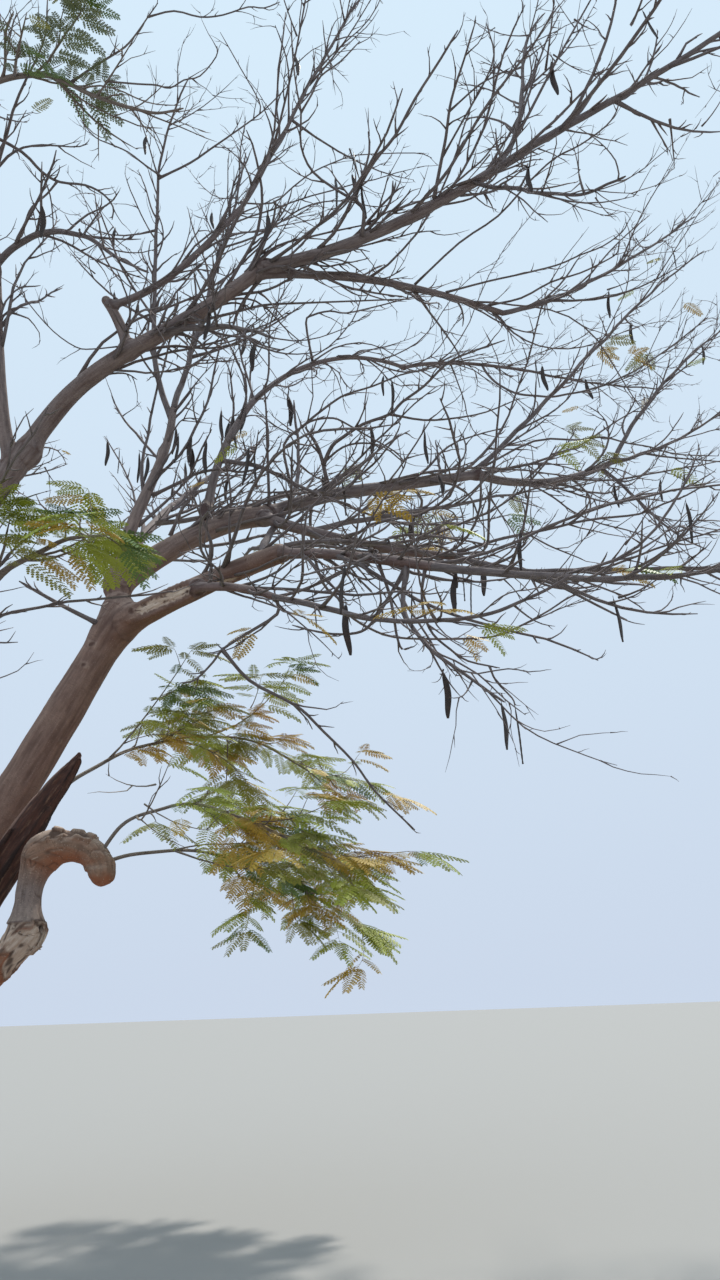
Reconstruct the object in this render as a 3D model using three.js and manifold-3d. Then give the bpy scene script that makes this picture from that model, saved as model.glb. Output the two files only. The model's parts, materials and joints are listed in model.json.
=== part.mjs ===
// A big leaning flame tree in the dry season, nearly bare, with long flat pods and few leaves.
// Millimetres, +Z up, with the origin in the middle of the flat cut at ground level.
// Every limb and every stem is one path: a start, a heading and a rise at its two ends and its
// middle, and a length. Shoots and twigs grow from the stems by a seeded rule.

import * as THREE from 'three';
import { mergeVertices } from 'three/addons/utils/BufferGeometryUtils.js';
import Module from 'manifold-3d';

const wasm = await Module();
wasm.setup();

// Seats, in millimetres
const SEAT_GAP = 0.45;
const TIP_GAP = 0.35;
const WELD = 0.5;
const TWIG_MARGIN = 6;
const LIMB_MARGIN = 15;
const SAMPLE_STEP = 60;
const CLEAR_RADII = 2;
const CLEAR_SHARE = 0.5;
const LOWEST = 100;

// Paths
const PATH_STEPS = 24;
const UP = new THREE.Vector3(0, 0, 1);
const UPRIGHT = 0.9;
const ON_AXIS = 1e-6;
const SAME_SPOT = 1e-3;

// Root flare of the trunk
const FLARE_REACH = 0.85;
const FLARE_HEIGHT = 380;
const FLARE_LOBES = 5;
const LOBE_DEPTH = 0.13;
const LEVEL_OUT = 0.25;

// Twigs
const TWIG_SIDES = 3;
const STEM_SIDES = 4;
const STEM_RINGS = 6;
const TWIG_END = 0.45;
const THINNEST = 5;
const NEARLY_PLUMB = 0.2;
const SWING = 1.5;
const PLACE_FROM = 0.2;
const PLACE_RANGE = 0.6;
const REACH_AT_FOOT = 1.2;
const REACH_LOST = 0.7;

// Leaves and pods, each leaf a feathery spray of its real length
const LEAF = { length: 420, width: 160, thickness: 8, sunk: 40 };
const POD = { length: 400, width: 54, thickness: 20, sunk: 26 };
const LEAF_SHARES = [0.94, 0.55, 0.75, 0.35, 0.2];
const POD_SHARES = [0.45, 0.7];
const END_POD_SHARE = 0.98;
const PODS_APART = 3 * POD.width;
const LEAFY_FROM = 8;

// How a leaf lies: how far it points ahead and aside, how flat it lies, its droop and its tilt
const LEAF_LAY = { ahead: 0.35, aheadRange: 0.5, aside: 0.8, flat: 0.4, droop: 0.12,
  droopRange: 0.2, tilt: 0.5 };

// How far a pod hangs off plumb, and how it is turned
const POD_LAY = { sway: 0.3, turn: 7 };

// How a stem branches: the spacing of the shoots along it, their angle and their length as a
// share of the parent's, and how each one bends on its way
const SHOOTS = [
  { spacing: 560, least: 3, most: 6, from: 0.14, to: 0.93, angle: [36, 62], length: [0.34, 0.56],
    thick: 0.62, steps: 2, kink: 0.22, lift: 0.10 },
  { spacing: 820, least: 0, most: 2, from: 0.30, to: 0.85, angle: [34, 60], length: [0.38, 0.62],
    thick: 0.72, steps: 1, kink: 0.15, lift: 0.16 },
];

// A twig that would leave its space is tried again shorter before it is skipped
const SHORTENED = [1, 0.62, 0.4];

// Limbs, each from a share of the way along another. Headings turn from +X towards +Y.
const LIMBS = [
  { name: 'trunk', heading: [0, 0, 0], rise: [76, 66, 62], length: 4860,
    radius: [192, 142], sides: 16, rings: 11, crowd: 1.6, bark: 'trunk' },
  { name: 'side_stem', from: 'trunk', at: 0.13, heading: [-167, -18, 5], rise: [77, 82, 57],
    length: 5560, radius: [150, 94], sides: 9, rings: 9, bark: 'trunk' },
  { name: 'broken_stem', from: 'trunk', at: 0.08, heading: [-26, -23, -8], rise: [47, 43.5, 44],
    length: 2160, radius: [112, 118], sides: 10, rings: 6, bark: 'pale' },
  { name: 'broken_stem_upper', from: 'broken_stem', at: 1, heading: [0, 0, 0], rise: [88, 86, 50],
    length: 620, radius: [88, 96], sides: 10, rings: 4, bark: 'pale' },
  { name: 'broken_elbow', from: 'broken_stem_upper', at: 0.9, heading: [0, 0, 0],
    rise: [32, -14, -84], length: 530, radius: [106, 94], sides: 10, rings: 6, bark: 'pale' },
  { name: 'torn_wood', from: 'broken_stem', at: 0.44, heading: [-17, 4, 7], rise: [76, 64, 58],
    length: 2400, radius: [115, 20], taper: 6, sides: 7, rings: 6, bark: 'rotten' },
  { name: 'upright_bough', from: 'trunk', at: 0.985, heading: [-215, -306, -267],
    rise: [87, 70, 82], length: 2640, radius: [112, 36], taper: 0.35, sides: 10, rings: 8,
    bark: 'upper' },
  { name: 'lower_bough', from: 'trunk', at: 0.965, heading: [-20, -19, -25], rise: [23, 15, 7],
    length: 1620, radius: [104, 80], sides: 10, rings: 6, bark: 'trunk' },
  { name: 'middle_bough', from: 'upright_bough', at: 0.15, heading: [24, 22, 13],
    rise: [44, 37, 9], length: 1570, radius: [104, 98], sides: 9, rings: 5, bark: 'bough' },
  { name: 'far_arm', from: 'middle_bough', at: 1, heading: [25, 24, 27], rise: [34, 19, 23],
    length: 2600, radius: [70, 50], sides: 9, rings: 5, bark: 'bough' },
  { name: 'far_arm_end', from: 'far_arm', at: 1, heading: [20, 22, 24], rise: [-10, 18, 33],
    length: 1990, radius: [48, 33], sides: 7, rings: 5, bark: 'bough' },
  { name: 'near_arm', from: 'middle_bough', at: 0.96, heading: [-34, -29, -35],
    rise: [-30, -27, -20], length: 2220, radius: [56, 30], sides: 7, rings: 5, bark: 'bough' },
  { name: 'rising_bough', from: 'middle_bough', at: 0.62, heading: [91, 38, 29],
    rise: [74, 54, -5], length: 4310, radius: [58, 22], taper: 0.4, sides: 7, rings: 9,
    bark: 'upper' },
  { name: 'rising_arm', from: 'rising_bough', at: 1, heading: [25, 22, 20], rise: [28, 11.5, 3],
    length: 1750, radius: [24, 18], sides: 6, rings: 4, bark: 'upper' },
  { name: 'lower_arm', from: 'lower_bough', at: 1, heading: [-38, -43.8, -41],
    rise: [-16, -24.6, -24], length: 1650, radius: [44, 32], sides: 7, rings: 3, bark: 'bough' },
  { name: 'low_side_limb', from: 'lower_bough', at: 0.5, heading: [-60, -47, -50],
    rise: [-16, -22, -31], length: 1270, radius: [40, 26], sides: 7, rings: 3, bark: 'bough' },
  { name: 'high_bough', from: 'side_stem', at: 1, heading: [-24, -22, -15], rise: [66, 15, 40],
    length: 2700, radius: [88, 56], sides: 10, rings: 8, bark: 'upper' },
  { name: 'high_arm', from: 'high_bough', at: 1, heading: [-15, -10, -13], rise: [-5, 18, 27],
    length: 2120, radius: [52, 38], sides: 7, rings: 5, bark: 'upper' },
  { name: 'inner_arm', from: 'high_bough', at: 0.96, heading: [4, 24, 14], rise: [6, 8, -13],
    length: 2400, radius: [38, 26], sides: 7, rings: 5, bark: 'upper' },
  { name: 'elbow_stub', from: 'high_bough', at: 0.49, heading: [-143, -150, -157],
    rise: [72, 64, 54], length: 520, radius: [50, 42], sides: 8, rings: 3, bark: 'upper' },
  { name: 'elbow_bough', from: 'elbow_stub', at: 0.9, heading: [-9, -5, 5], rise: [4, 45, 54],
    length: 1570, radius: [33, 25], sides: 7, rings: 5, bark: 'upper' },
  { name: 'tall_stem', from: 'side_stem', at: 0.965, heading: [-128, -121, -128],
    rise: [66, 80, 79], length: 2080, radius: [64, 50], sides: 7, rings: 5, bark: 'trunk' },
  { name: 'tall_stem_top', from: 'tall_stem', at: 1, heading: [-95, -93, -85],
    rise: [62, 61, 45], length: 1350, radius: [44, 30], sides: 7, rings: 3, bark: 'upper' },
  { name: 'back_bough', from: 'upright_bough', at: 0.24, heading: [102, 91, 79],
    rise: [30, 41, 44], length: 2700, radius: [62, 40], sides: 7, rings: 5, bark: 'upper' },
  { name: 'left_bough', from: 'side_stem', at: 0.66, heading: [178, 184, 178],
    rise: [48, 34, 14], length: 2900, radius: [74, 46], sides: 7, rings: 5, bark: 'trunk' },
  { name: 'back_left_bough', from: 'side_stem', at: 0.84, heading: [126, 118, 110],
    rise: [52, 40, 24], length: 3000, radius: [70, 42], sides: 7, rings: 5, bark: 'trunk' },
  { name: 'leafy_limb', from: 'side_stem', at: 0.44, heading: [-84, -52, -36],
    rise: [30, 9.5, 15], length: 2450, radius: [56, 28], sides: 7, rings: 5, bark: 'bough' },
];

// Masses of twigs, each on one stem that goes on from a limb. One with leafyTo bears its leaves
// on the first share of its stem and is bare beyond.
const MASSES = [
  { name: 'far_upper_twigs', from: 'far_arm_end', at: 1, heading: [24, 11, 14],
    rise: [60, 49, 39], length: 2950, radius: [30, 9], pods: 1, seed: 11 },
  { name: 'far_right_twigs', from: 'far_arm_end', at: 0.95, heading: [25, 25, 31],
    rise: [24, 32, 44], length: 2700, radius: [26, 9], pods: 1, seed: 12 },
  { name: 'far_drooping_twigs', from: 'far_arm_end', at: 0.88, heading: [-30, -44, -30],
    rise: [-52, -59, -41], length: 1700, radius: [20, 8], pods: 1, seed: 13 },
  { name: 'far_leader_twigs', from: 'far_arm', at: 0.965, heading: [18, 15, 15],
    rise: [45, 49, 40], length: 5360, radius: [30, 9], pods: 2, leaves: 2, seed: 14 },
  { name: 'near_tip_twigs', from: 'near_arm', at: 1, heading: [-32, -24, -42],
    rise: [-36, -10, -40], length: 2700, radius: [29, 8], pods: 1, leaves: 1, seed: 15 },
  { name: 'near_inner_twigs', from: 'near_arm', at: 0.31, heading: [21, 27, 32],
    rise: [23, 20, 28], length: 2900, radius: [30, 9], pods: 2, leaves: 2, seed: 16 },
  { name: 'lower_tip_twigs', from: 'lower_arm', at: 1, heading: [-41, -35, -25],
    rise: [-24, -17, 2], length: 2300, radius: [31, 8], pods: 1, leaves: 2, seed: 17 },
  { name: 'hanging_twigs', from: 'lower_arm', at: 0.86, heading: [-150, -45, -44],
    rise: [-76, -52, -40], length: 1500, radius: [20, 7], pods: 2, podEnd: true, seed: 18 },
  { name: 'lower_upright_twigs', from: 'lower_bough', at: 0.94, heading: [114, 75, 138],
    rise: [34, 54, 86], length: 3580, radius: [40, 11], pods: 2, leaves: 1, seed: 19 },
  { name: 'sagging_twigs', from: 'low_side_limb', at: 1, heading: [-41, -40, -30],
    rise: [-24, -20, 23], length: 2400, radius: [24, 8], pods: 1, leaves: 1, seed: 20 },
  { name: 'rising_tip_twigs', from: 'rising_arm', at: 1, heading: [20, 19, 19],
    rise: [3, 2.5, 14], length: 2300, radius: [17, 8], pods: 1, leaves: 2, seed: 21 },
  { name: 'rising_side_twigs', from: 'rising_bough', at: 0.22, heading: [-29, -31, -24],
    rise: [-14, -39, -26], length: 1750, radius: [26, 8], pods: 2, leaves: 1, seed: 22 },
  { name: 'rising_drooping_twigs', from: 'rising_arm', at: 0.66, heading: [-29, -13, -20],
    rise: [-78, 9, 33], length: 3200, radius: [15, 8], pods: 1, leaves: 2, seed: 23 },
  { name: 'upright_left_twigs', from: 'upright_bough', at: 0.95, heading: [127, 254, 316],
    rise: [61, 87, 31], length: 4300, radius: [33, 9], pods: 3, seed: 24 },
  { name: 'upright_right_twigs', from: 'upright_bough', at: 1, heading: [75, 42, -30],
    rise: [70, 78, 80], length: 4250, radius: [35, 9], pods: 3, seed: 25 },
  { name: 'high_tip_twigs', from: 'high_arm', at: 1, heading: [-9, -12, -13],
    rise: [29, 28, 42], length: 3700, radius: [35, 9], pods: 1, seed: 26 },
  { name: 'high_upper_twigs', from: 'high_arm', at: 0.95, heading: [20, 56, 22],
    rise: [50, 74, 56], length: 3550, radius: [28, 8], pods: 1, seed: 27 },
  { name: 'high_drooping_twigs', from: 'high_arm', at: 0.9, heading: [-53, -44, -72],
    rise: [-45, -42, -25], length: 1750, radius: [20, 8], pods: 1, seed: 28 },
  { name: 'inner_arm_twigs', from: 'inner_arm', at: 1, heading: [23, 14, 18],
    rise: [25, 38, 41], length: 3000, radius: [25, 8], pods: 1, leaves: 1, seed: 29 },
  { name: 'high_low_twigs', from: 'high_bough', at: 0.6, heading: [-29, -35, -48],
    rise: [-8, -29, -45], length: 1550, radius: [36, 9], pods: 2, seed: 30 },
  { name: 'elbow_bough_twigs', from: 'elbow_bough', at: 1, heading: [-2, 6, 13],
    rise: [65, 69, 63], length: 3570, radius: [23, 9], pods: 2, seed: 31 },
  { name: 'arching_twigs', from: 'tall_stem', at: 0.95, heading: [-21, -25, -25],
    rise: [50, -39, -33], length: 2200, radius: [34, 9], pods: 1, seed: 32 },
  { name: 'overhanging_foliage', from: 'tall_stem_top', at: 1, heading: [-26, -6, -8],
    rise: [32, -37, 10], length: 2200, radius: [30, 9], leaves: 9, leafyTo: 0.28, seed: 33 },
  { name: 'tall_stem_twigs', from: 'tall_stem_top', at: 0.9, heading: [150, 120, 100],
    rise: [55, 68, 62], length: 2500, radius: [27, 9], leaves: 2, pods: 1, seed: 34 },
  { name: 'back_tip_twigs', from: 'back_bough', at: 1, heading: [79, 68, 56],
    rise: [44, 45, 42], length: 2700, radius: [37, 9], pods: 1, leaves: 1, seed: 35 },
  { name: 'back_side_twigs', from: 'back_bough', at: 0.72, heading: [25, 40, 34],
    rise: [18, 30, 22], length: 2700, radius: [32, 9], pods: 1, leaves: 1, seed: 36 },
  { name: 'left_tip_twigs', from: 'left_bough', at: 1, heading: [178, 170, 160],
    rise: [14, 28, 34], length: 2500, radius: [43, 10], pods: 2, leaves: 2, seed: 37 },
  { name: 'left_side_twigs', from: 'left_bough', at: 0.62, heading: [-128, -118, -108],
    rise: [34, 24, 28], length: 2300, radius: [36, 9], pods: 1, leaves: 2, seed: 38 },
  { name: 'back_left_twigs', from: 'back_left_bough', at: 1, heading: [110, 104, 96],
    rise: [24, 30, 38], length: 2500, radius: [39, 9], pods: 2, leaves: 1, seed: 39 },
  { name: 'front_foliage', from: 'leafy_limb', at: 1, heading: [-17, -14, -20],
    rise: [34, 22, -14], length: 1150, radius: [26, 8], leaves: 10, seed: 40 },
  { name: 'long_sprout_foliage', from: 'torn_wood', at: 0.81, heading: [55, 33, 15],
    rise: [44, 13, -45], length: 2780, radius: [17, 7], leaves: 10, seed: 41 },
  { name: 'short_sprout_foliage', from: 'broken_elbow', at: 0.84, heading: [-33, -13, -14],
    rise: [60, -16, -23], length: 2100, radius: [14, 7], leaves: 9, seed: 42 },
  { name: 'low_sprout_foliage', from: 'broken_elbow', at: 0.9, heading: [39, 35, 6],
    rise: [23, -12, -37], length: 2250, radius: [14, 7], leaves: 9, seed: 43 },
];

// Colours and finish of the wood and the foliage
const FINISHES = {
  trunk: new THREE.MeshStandardMaterial({ color: 0x6f5d52, roughness: 0.92, metalness: 0 }),
  bough: new THREE.MeshStandardMaterial({ color: 0x6b5e5b, roughness: 0.9, metalness: 0 }),
  upper: new THREE.MeshStandardMaterial({ color: 0x7a746f, roughness: 0.9, metalness: 0 }),
  pale: new THREE.MeshStandardMaterial({ color: 0x8d8177, roughness: 0.85, metalness: 0 }),
  rotten: new THREE.MeshStandardMaterial({ color: 0x3f322a, roughness: 0.97, metalness: 0 }),
  twigs: new THREE.MeshStandardMaterial({ color: 0x5b504b, roughness: 0.9, metalness: 0 }),
  foliage: new THREE.MeshStandardMaterial({ color: 0x74843a, roughness: 0.7, metalness: 0 }),
};

// Seeded draws between 0 and 1, the same for the same seed
const DRAW_FACTOR = 48271;
const DRAW_MODULUS = 2147483647;
const SEED_FACTOR = 7919;
const SEED_STEP = 17;
const SHOOT_SEEDS = 31;
const LEAF_SEEDS = 977;
const POD_SEEDS = 1409;

function drawer(seed) {
  let state = (seed * SEED_FACTOR + SEED_STEP) % DRAW_MODULUS;
  const draw = () => {
    state = (state * DRAW_FACTOR) % DRAW_MODULUS;
    return state / DRAW_MODULUS;
  };
  draw();
  draw();
  return draw;
}

// A value that is given at the start, the middle and the end of a path
function along(values, share) {
  return 2 * (share - 0.5) * (share - 1) * values[0]
    - 4 * share * (share - 1) * values[1]
    + 2 * share * (share - 0.5) * values[2];
}

function wayOf(heading, rise) {
  const turn = THREE.MathUtils.degToRad(heading);
  const climb = THREE.MathUtils.degToRad(rise);
  const flat = Math.cos(climb);
  return new THREE.Vector3(flat * Math.cos(turn), flat * Math.sin(turn), Math.sin(climb));
}

// The points of a limb's or a stem's axis
function follow(start, limb) {
  const path = [start.clone()];
  for (let step = 0; step < PATH_STEPS; step += 1) {
    const share = (step + 0.5) / PATH_STEPS;
    const way = wayOf(along(limb.heading, share), along(limb.rise, share));
    path.push(path[step].clone().addScaledVector(way, limb.length / PATH_STEPS));
  }
  return path;
}

function pointAt(path, share) {
  const place = Math.min(Math.max(share, 0), 1) * (path.length - 1);
  const before = Math.min(Math.floor(place), path.length - 2);
  return path[before].clone().lerp(path[before + 1], place - before);
}

function wayAt(path, share) {
  const place = Math.min(Math.max(share, 0), 1) * (path.length - 1);
  const before = Math.min(Math.floor(place), path.length - 2);
  return path[before + 1].clone().sub(path[before]).normalize();
}

// A round, tapering body round the given ring centres, blunt or running to a point. The
// rings are carried from one to the next without twist.
function tube(centres, ways, radiusOf, sides, pointed) {
  const rows = centres.length - 1;
  const shape = pointed
    ? new THREE.ConeGeometry(1, 1, sides, rows)
    : new THREE.CylinderGeometry(1, 1, 1, sides, rows);
  const across = [];
  let side = Math.abs(ways[0].z) > UPRIGHT ? new THREE.Vector3(1, 0, 0) : UP.clone();
  for (const way of ways) {
    side = side.clone().addScaledVector(way, -side.dot(way)).normalize();
    across.push(side);
  }
  const spots = shape.attributes.position;
  for (let index = 0; index < spots.count; index += 1) {
    const row = Math.round((spots.getY(index) + 0.5) * rows);
    const x = spots.getX(index);
    const z = spots.getZ(index);
    const out = Math.hypot(x, z) > ON_AXIS ? 1 : 0;
    const angle = Math.atan2(x, z);
    const radius = out * radiusOf(row, angle);
    const place = centres[row].clone()
      .addScaledVector(across[row], radius * Math.sin(angle))
      .addScaledVector(across[row].clone().cross(ways[row]), radius * Math.cos(angle));
    spots.setXYZ(index, place.x, place.y, place.z);
  }
  return shape;
}

// A closed three.js shape as a solid that can be joined and cut
function solidOf(shape) {
  shape.deleteAttribute('normal');
  shape.deleteAttribute('uv');
  const merged = mergeVertices(shape, SAME_SPOT);
  return new wasm.Manifold(new wasm.Mesh({
    numProp: 3,
    vertProperties: new Float32Array(merged.attributes.position.array),
    triVerts: new Uint32Array(merged.index.array),
  }));
}

// The largest piece of a solid: a scrap that a cut leaves behind is dropped
function largest(solid) {
  const pieces = solid.decompose();
  pieces.sort((one, other) => other.volume() - one.volume());
  return pieces[0];
}

function limbRadius(limb, share) {
  return limb.radius[0] + (limb.radius[1] - limb.radius[0]) * Math.pow(share, limb.taper ?? 1);
}

// The trunk's foot spreads towards the ground in soft lobes
function flare(share, length, angle) {
  const near = Math.exp(-share * length / FLARE_HEIGHT);
  const lobes = 1 + LOBE_DEPTH * Math.cos(FLARE_LOBES * angle);
  return 1 + FLARE_REACH * near * lobes + (lobes - 1) * near;
}

// A limb's body, grown outwards by an allowance where it is used as a cutter
function limbSolid(limb, allowance) {
  const centres = [];
  const ways = [];
  const shares = [];
  for (let ring = 0; ring <= limb.rings; ring += 1) {
    const share = Math.pow(ring / limb.rings, limb.crowd ?? 1);
    shares.push(share);
    centres.push(pointAt(limb.path, share));
    let way = wayAt(limb.path, share);
    if (!limb.from) {
      way = UP.clone().lerp(way, THREE.MathUtils.smoothstep(share, 0, LEVEL_OUT)).normalize();
    }
    ways.push(way);
  }
  if (limb.seat) {
    ways[0] = limb.seat.clone();
  }
  centres[0].addScaledVector(ways[0], -allowance);
  centres[limb.rings].addScaledVector(ways[limb.rings], allowance);
  const radiusOf = (ring, angle) => {
    const radius = limbRadius(limb, shares[ring]);
    return allowance + (limb.from ? radius : radius * flare(shares[ring], limb.length, angle));
  };
  return solidOf(tube(centres, ways, radiusOf, limb.sides, false));
}

// Where a limb or a stem starts: on the axis of the one that bears it, or just clear of its end
function plant(limb) {
  if (!limb.from) {
    limb.path = follow(new THREE.Vector3(0, 0, 0), limb);
    return;
  }
  const bearer = limbNamed.get(limb.from);
  const start = pointAt(bearer.path, limb.at);
  if (limb.at === 1) {
    limb.seat = wayAt(bearer.path, 1);
    start.addScaledVector(limb.seat, TIP_GAP);
  }
  limb.path = follow(start, limb);
}

function boxesMeet(one, other) {
  const a = one.boundingBox();
  const b = other.boundingBox();
  return [0, 1, 2].every((axis) => a.min[axis] <= b.max[axis] && b.min[axis] <= a.max[axis]);
}

function cutClear(solid, cutters) {
  let left = solid;
  for (const cutter of cutters) {
    if (boxesMeet(left, cutter)) {
      left = left.subtract(cutter);
    }
  }
  return largest(left.simplify(WELD));
}

// The distance from a point to a path
function distanceTo(path, point) {
  let nearest = Infinity;
  const line = new THREE.Line3();
  const foot = new THREE.Vector3();
  for (let step = 0; step + 1 < path.length; step += 1) {
    line.set(path[step], path[step + 1]);
    line.closestPointToPoint(point, true, foot);
    nearest = Math.min(nearest, foot.distanceTo(point));
  }
  return nearest;
}

// A point keeps to its mass when it is nearer to its own stem than to any other, and well
// clear of every limb
function keepsToSpace(point, reach, mass) {
  const own = distanceTo(mass.path, point);
  for (const limb of LIMBS) {
    const clearance = reach + LIMB_MARGIN + Math.max(limb.radius[0], limb.radius[1]);
    if (limb.bounds.distanceToPoint(point) < clearance
      && distanceTo(limb.path, point) < clearance) {
      return false;
    }
  }
  const lead = own + 2 * (reach + TWIG_MARGIN);
  for (const other of MASSES) {
    if (other !== mass && other.bounds.distanceToPoint(point) < lead
      && distanceTo(other.path, point) < lead) {
      return false;
    }
  }
  return point.z > LOWEST;
}

// A twig's axis, bent at each step by a seeded kink and a pull towards the light
function twigPath(start, way, length, rule, kinks) {
  const path = [start.clone()];
  const heading = way.clone();
  for (let step = 0; step < rule.steps; step += 1) {
    const kink = new THREE.Vector3(...kinks.slice(3 * step, 3 * step + 3)).subScalar(0.5);
    heading.addScaledVector(kink, 2 * rule.kink).addScaledVector(UP, rule.lift).normalize();
    path.push(path[step].clone().addScaledVector(heading, length / rule.steps));
  }
  return path;
}

function pathLength(path) {
  let length = 0;
  for (let step = 0; step + 1 < path.length; step += 1) {
    length += path[step].distanceTo(path[step + 1]);
  }
  return length;
}

function twigKeepsToSpace(twig, mass) {
  const length = pathLength(twig.path);
  const samples = Math.ceil(length / SAMPLE_STEP);
  const clearOfBearer = Math.min(CLEAR_SHARE, CLEAR_RADII * twig.radius / length);
  for (let sample = 1; sample <= samples; sample += 1) {
    const share = clearOfBearer + (1 - clearOfBearer) * sample / samples;
    if (!keepsToSpace(pointAt(twig.path, share), twig.radius, mass)) {
      return false;
    }
  }
  return true;
}

// The shoots of a stem or the twigs of a shoot: they leave it on alternate sides, shorter
// towards its tip, and one that would leave the mass's space is skipped
function growShoots(parent, level, mass) {
  const rule = SHOOTS[level];
  const length = pathLength(parent.path);
  const count = Math.min(Math.max(Math.round(length / rule.spacing), rule.least), rule.most);
  const grown = [];
  for (let index = 0; index < count; index += 1) {
    const seed = parent.seed * SHOOT_SEEDS + index + 1;
    const draw = drawer(seed);
    const place = index + PLACE_FROM + PLACE_RANGE * draw();
    const share = rule.from + (rule.to - rule.from) * place / count;
    const way = wayAt(parent.path, share);
    const flat = new THREE.Vector3().crossVectors(way, UP);
    if (flat.length() < NEARLY_PLUMB) {
      flat.set(1, 0, 0).addScaledVector(way, -way.x);
    }
    flat.normalize();
    const turn = (index % 2) * Math.PI + (parent.turn ?? 0) + SWING * (draw() - 0.5);
    flat.applyAxisAngle(way, turn);
    const angle = THREE.MathUtils.degToRad(
      rule.angle[0] + (rule.angle[1] - rule.angle[0]) * draw());
    const out = way.clone().multiplyScalar(Math.cos(angle)).addScaledVector(flat, Math.sin(angle));
    const portion = rule.length[0] + (rule.length[1] - rule.length[0]) * draw();
    const reach = length * portion * (REACH_AT_FOOT - REACH_LOST * share);
    const radius = Math.max(radiusAt(parent, share) * rule.thick, THINNEST);
    const start = pointAt(parent.path, share);
    const kinks = Array.from({ length: 3 * rule.steps + 1 }, draw);
    const lengths = SHORTENED.map((part) => reach * part);
    const tries = lengths.map((tried) => ({
      path: twigPath(start, out, tried, rule, kinks),
      radius,
      seed,
      turn: Math.PI * kinks[3 * rule.steps],
      onStem: parent.onStem ?? share,
    }));
    const kept = tries.find((twig) => twigKeepsToSpace(twig, mass));
    if (kept) {
      grown.push(kept);
    }
  }
  return grown;
}

// How thick a stem or a twig is at a share of its length
function radiusAt(twig, share) {
  if (twig.thin) {
    return twig.radius + (twig.thin - twig.radius) * share;
  }
  return twig.radius * (1 - TWIG_END * share);
}

function stemSolid(mass, allowance) {
  const centres = [];
  const ways = [];
  for (let ring = 0; ring <= STEM_RINGS; ring += 1) {
    centres.push(pointAt(mass.path, ring / STEM_RINGS));
    ways.push(wayAt(mass.path, ring / STEM_RINGS));
  }
  if (mass.seat) {
    ways[0] = mass.seat.clone();
  }
  centres[0].addScaledVector(ways[0], -allowance);
  centres[STEM_RINGS].addScaledVector(ways[STEM_RINGS], allowance);
  const radiusOf = (ring) => allowance + limbRadius(mass, ring / STEM_RINGS);
  return solidOf(tube(centres, ways, radiusOf, STEM_SIDES, true));
}

function twigSolid(twig) {
  const rows = twig.path.length - 1;
  const ways = twig.path.map((point, row) => wayAt(twig.path, (row + 0.5) / rows));
  const radiusOf = (row) => radiusAt(twig, row / rows);
  return solidOf(tube(twig.path, ways, radiusOf, TWIG_SIDES, true));
}

// Turns and stretches a unit shape so that its x runs along one way and its y across it
function laid({ shape, size, centre, way, across }) {
  const side = across.clone().addScaledVector(way, -across.dot(way)).normalize();
  const face = new THREE.Vector3().crossVectors(way, side);
  const turn = new THREE.Matrix4().makeBasis(way, side, face);
  shape.scale(size.length / 2, size.width / 2, size.thickness / 2);
  shape.applyMatrix4(turn);
  shape.translate(centre.x, centre.y, centre.z);
  return solidOf(shape);
}

// The places along a mass's twigs that leaves and pods are dealt out to
function spotsOf(twigs, shares) {
  const spots = [];
  for (const share of shares) {
    for (const twig of twigs) {
      const onStem = twig.onStem ?? share;
      spots.push({ point: pointAt(twig.path, share), way: wayAt(twig.path, share), onStem });
    }
  }
  return spots;
}

// Pieces are dealt out to the spots in turn, and one that would lie on another is skipped
function dealtOut(spots, count, apart, place) {
  const laidOut = [];
  for (let index = 0; index < spots.length && laidOut.length < count; index += 1) {
    const piece = place(spots[index], index);
    if (piece && laidOut.every((other) => other.centre.distanceTo(piece.centre) > apart)) {
      laidOut.push(piece);
    }
  }
  return laidOut.map((piece) => laid(piece));
}

// A leaf lies nearly flat and droops a little, with its root sunk past the twig's axis
function leafAt(spot, index, mass) {
  const draw = drawer(mass.seed * LEAF_SEEDS + index);
  const flat = new THREE.Vector3().crossVectors(spot.way, UP);
  flat.normalize().multiplyScalar(index % 2 === 0 ? 1 : -1);
  const ahead = LEAF_LAY.ahead + LEAF_LAY.aheadRange * draw();
  const way = spot.way.clone().multiplyScalar(ahead).addScaledVector(flat, LEAF_LAY.aside);
  way.z = way.z * LEAF_LAY.flat - LEAF_LAY.droop - LEAF_LAY.droopRange * draw();
  way.normalize();
  const across = new THREE.Vector3().crossVectors(UP, way).normalize();
  across.addScaledVector(UP, LEAF_LAY.tilt * (draw() - 0.5)).normalize();
  const centre = spot.point.clone().addScaledVector(way, LEAF.length / 2 - LEAF.sunk);
  const tip = spot.point.clone().addScaledVector(way, LEAF.length - LEAF.sunk);
  const corners = [tip, centre];
  for (const sign of [-0.5, 0.5]) {
    corners.push(centre.clone().addScaledVector(across, sign * LEAF.width));
  }
  if (!corners.every((corner) => keepsToSpace(corner, LEAF.thickness, mass))) {
    return null;
  }
  return { shape: new THREE.OctahedronGeometry(1, 0), size: LEAF, centre, way, across };
}

// A pod hangs from its twig, a little off plumb
function podAt(spot, index, mass) {
  const draw = drawer(mass.seed * POD_SEEDS + index);
  const sway = [POD_LAY.sway * (draw() - 0.5), POD_LAY.sway * (draw() - 0.5)];
  const way = new THREE.Vector3(...sway, -1).normalize();
  const turns = [POD_LAY.turn * draw(), POD_LAY.turn * draw()];
  const across = new THREE.Vector3(Math.cos(turns[0]), Math.sin(turns[1]), 0);
  const centre = spot.point.clone().addScaledVector(way, POD.length / 2 - POD.sunk);
  const low = spot.point.clone().addScaledVector(way, POD.length);
  if (![centre, low].every((corner) => keepsToSpace(corner, POD.width / 2, mass))) {
    return null;
  }
  const shape = new THREE.SphereGeometry(1, 5, 3);
  shape.rotateZ(Math.PI / 2);
  return { shape, size: POD, centre, way, across };
}

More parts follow.
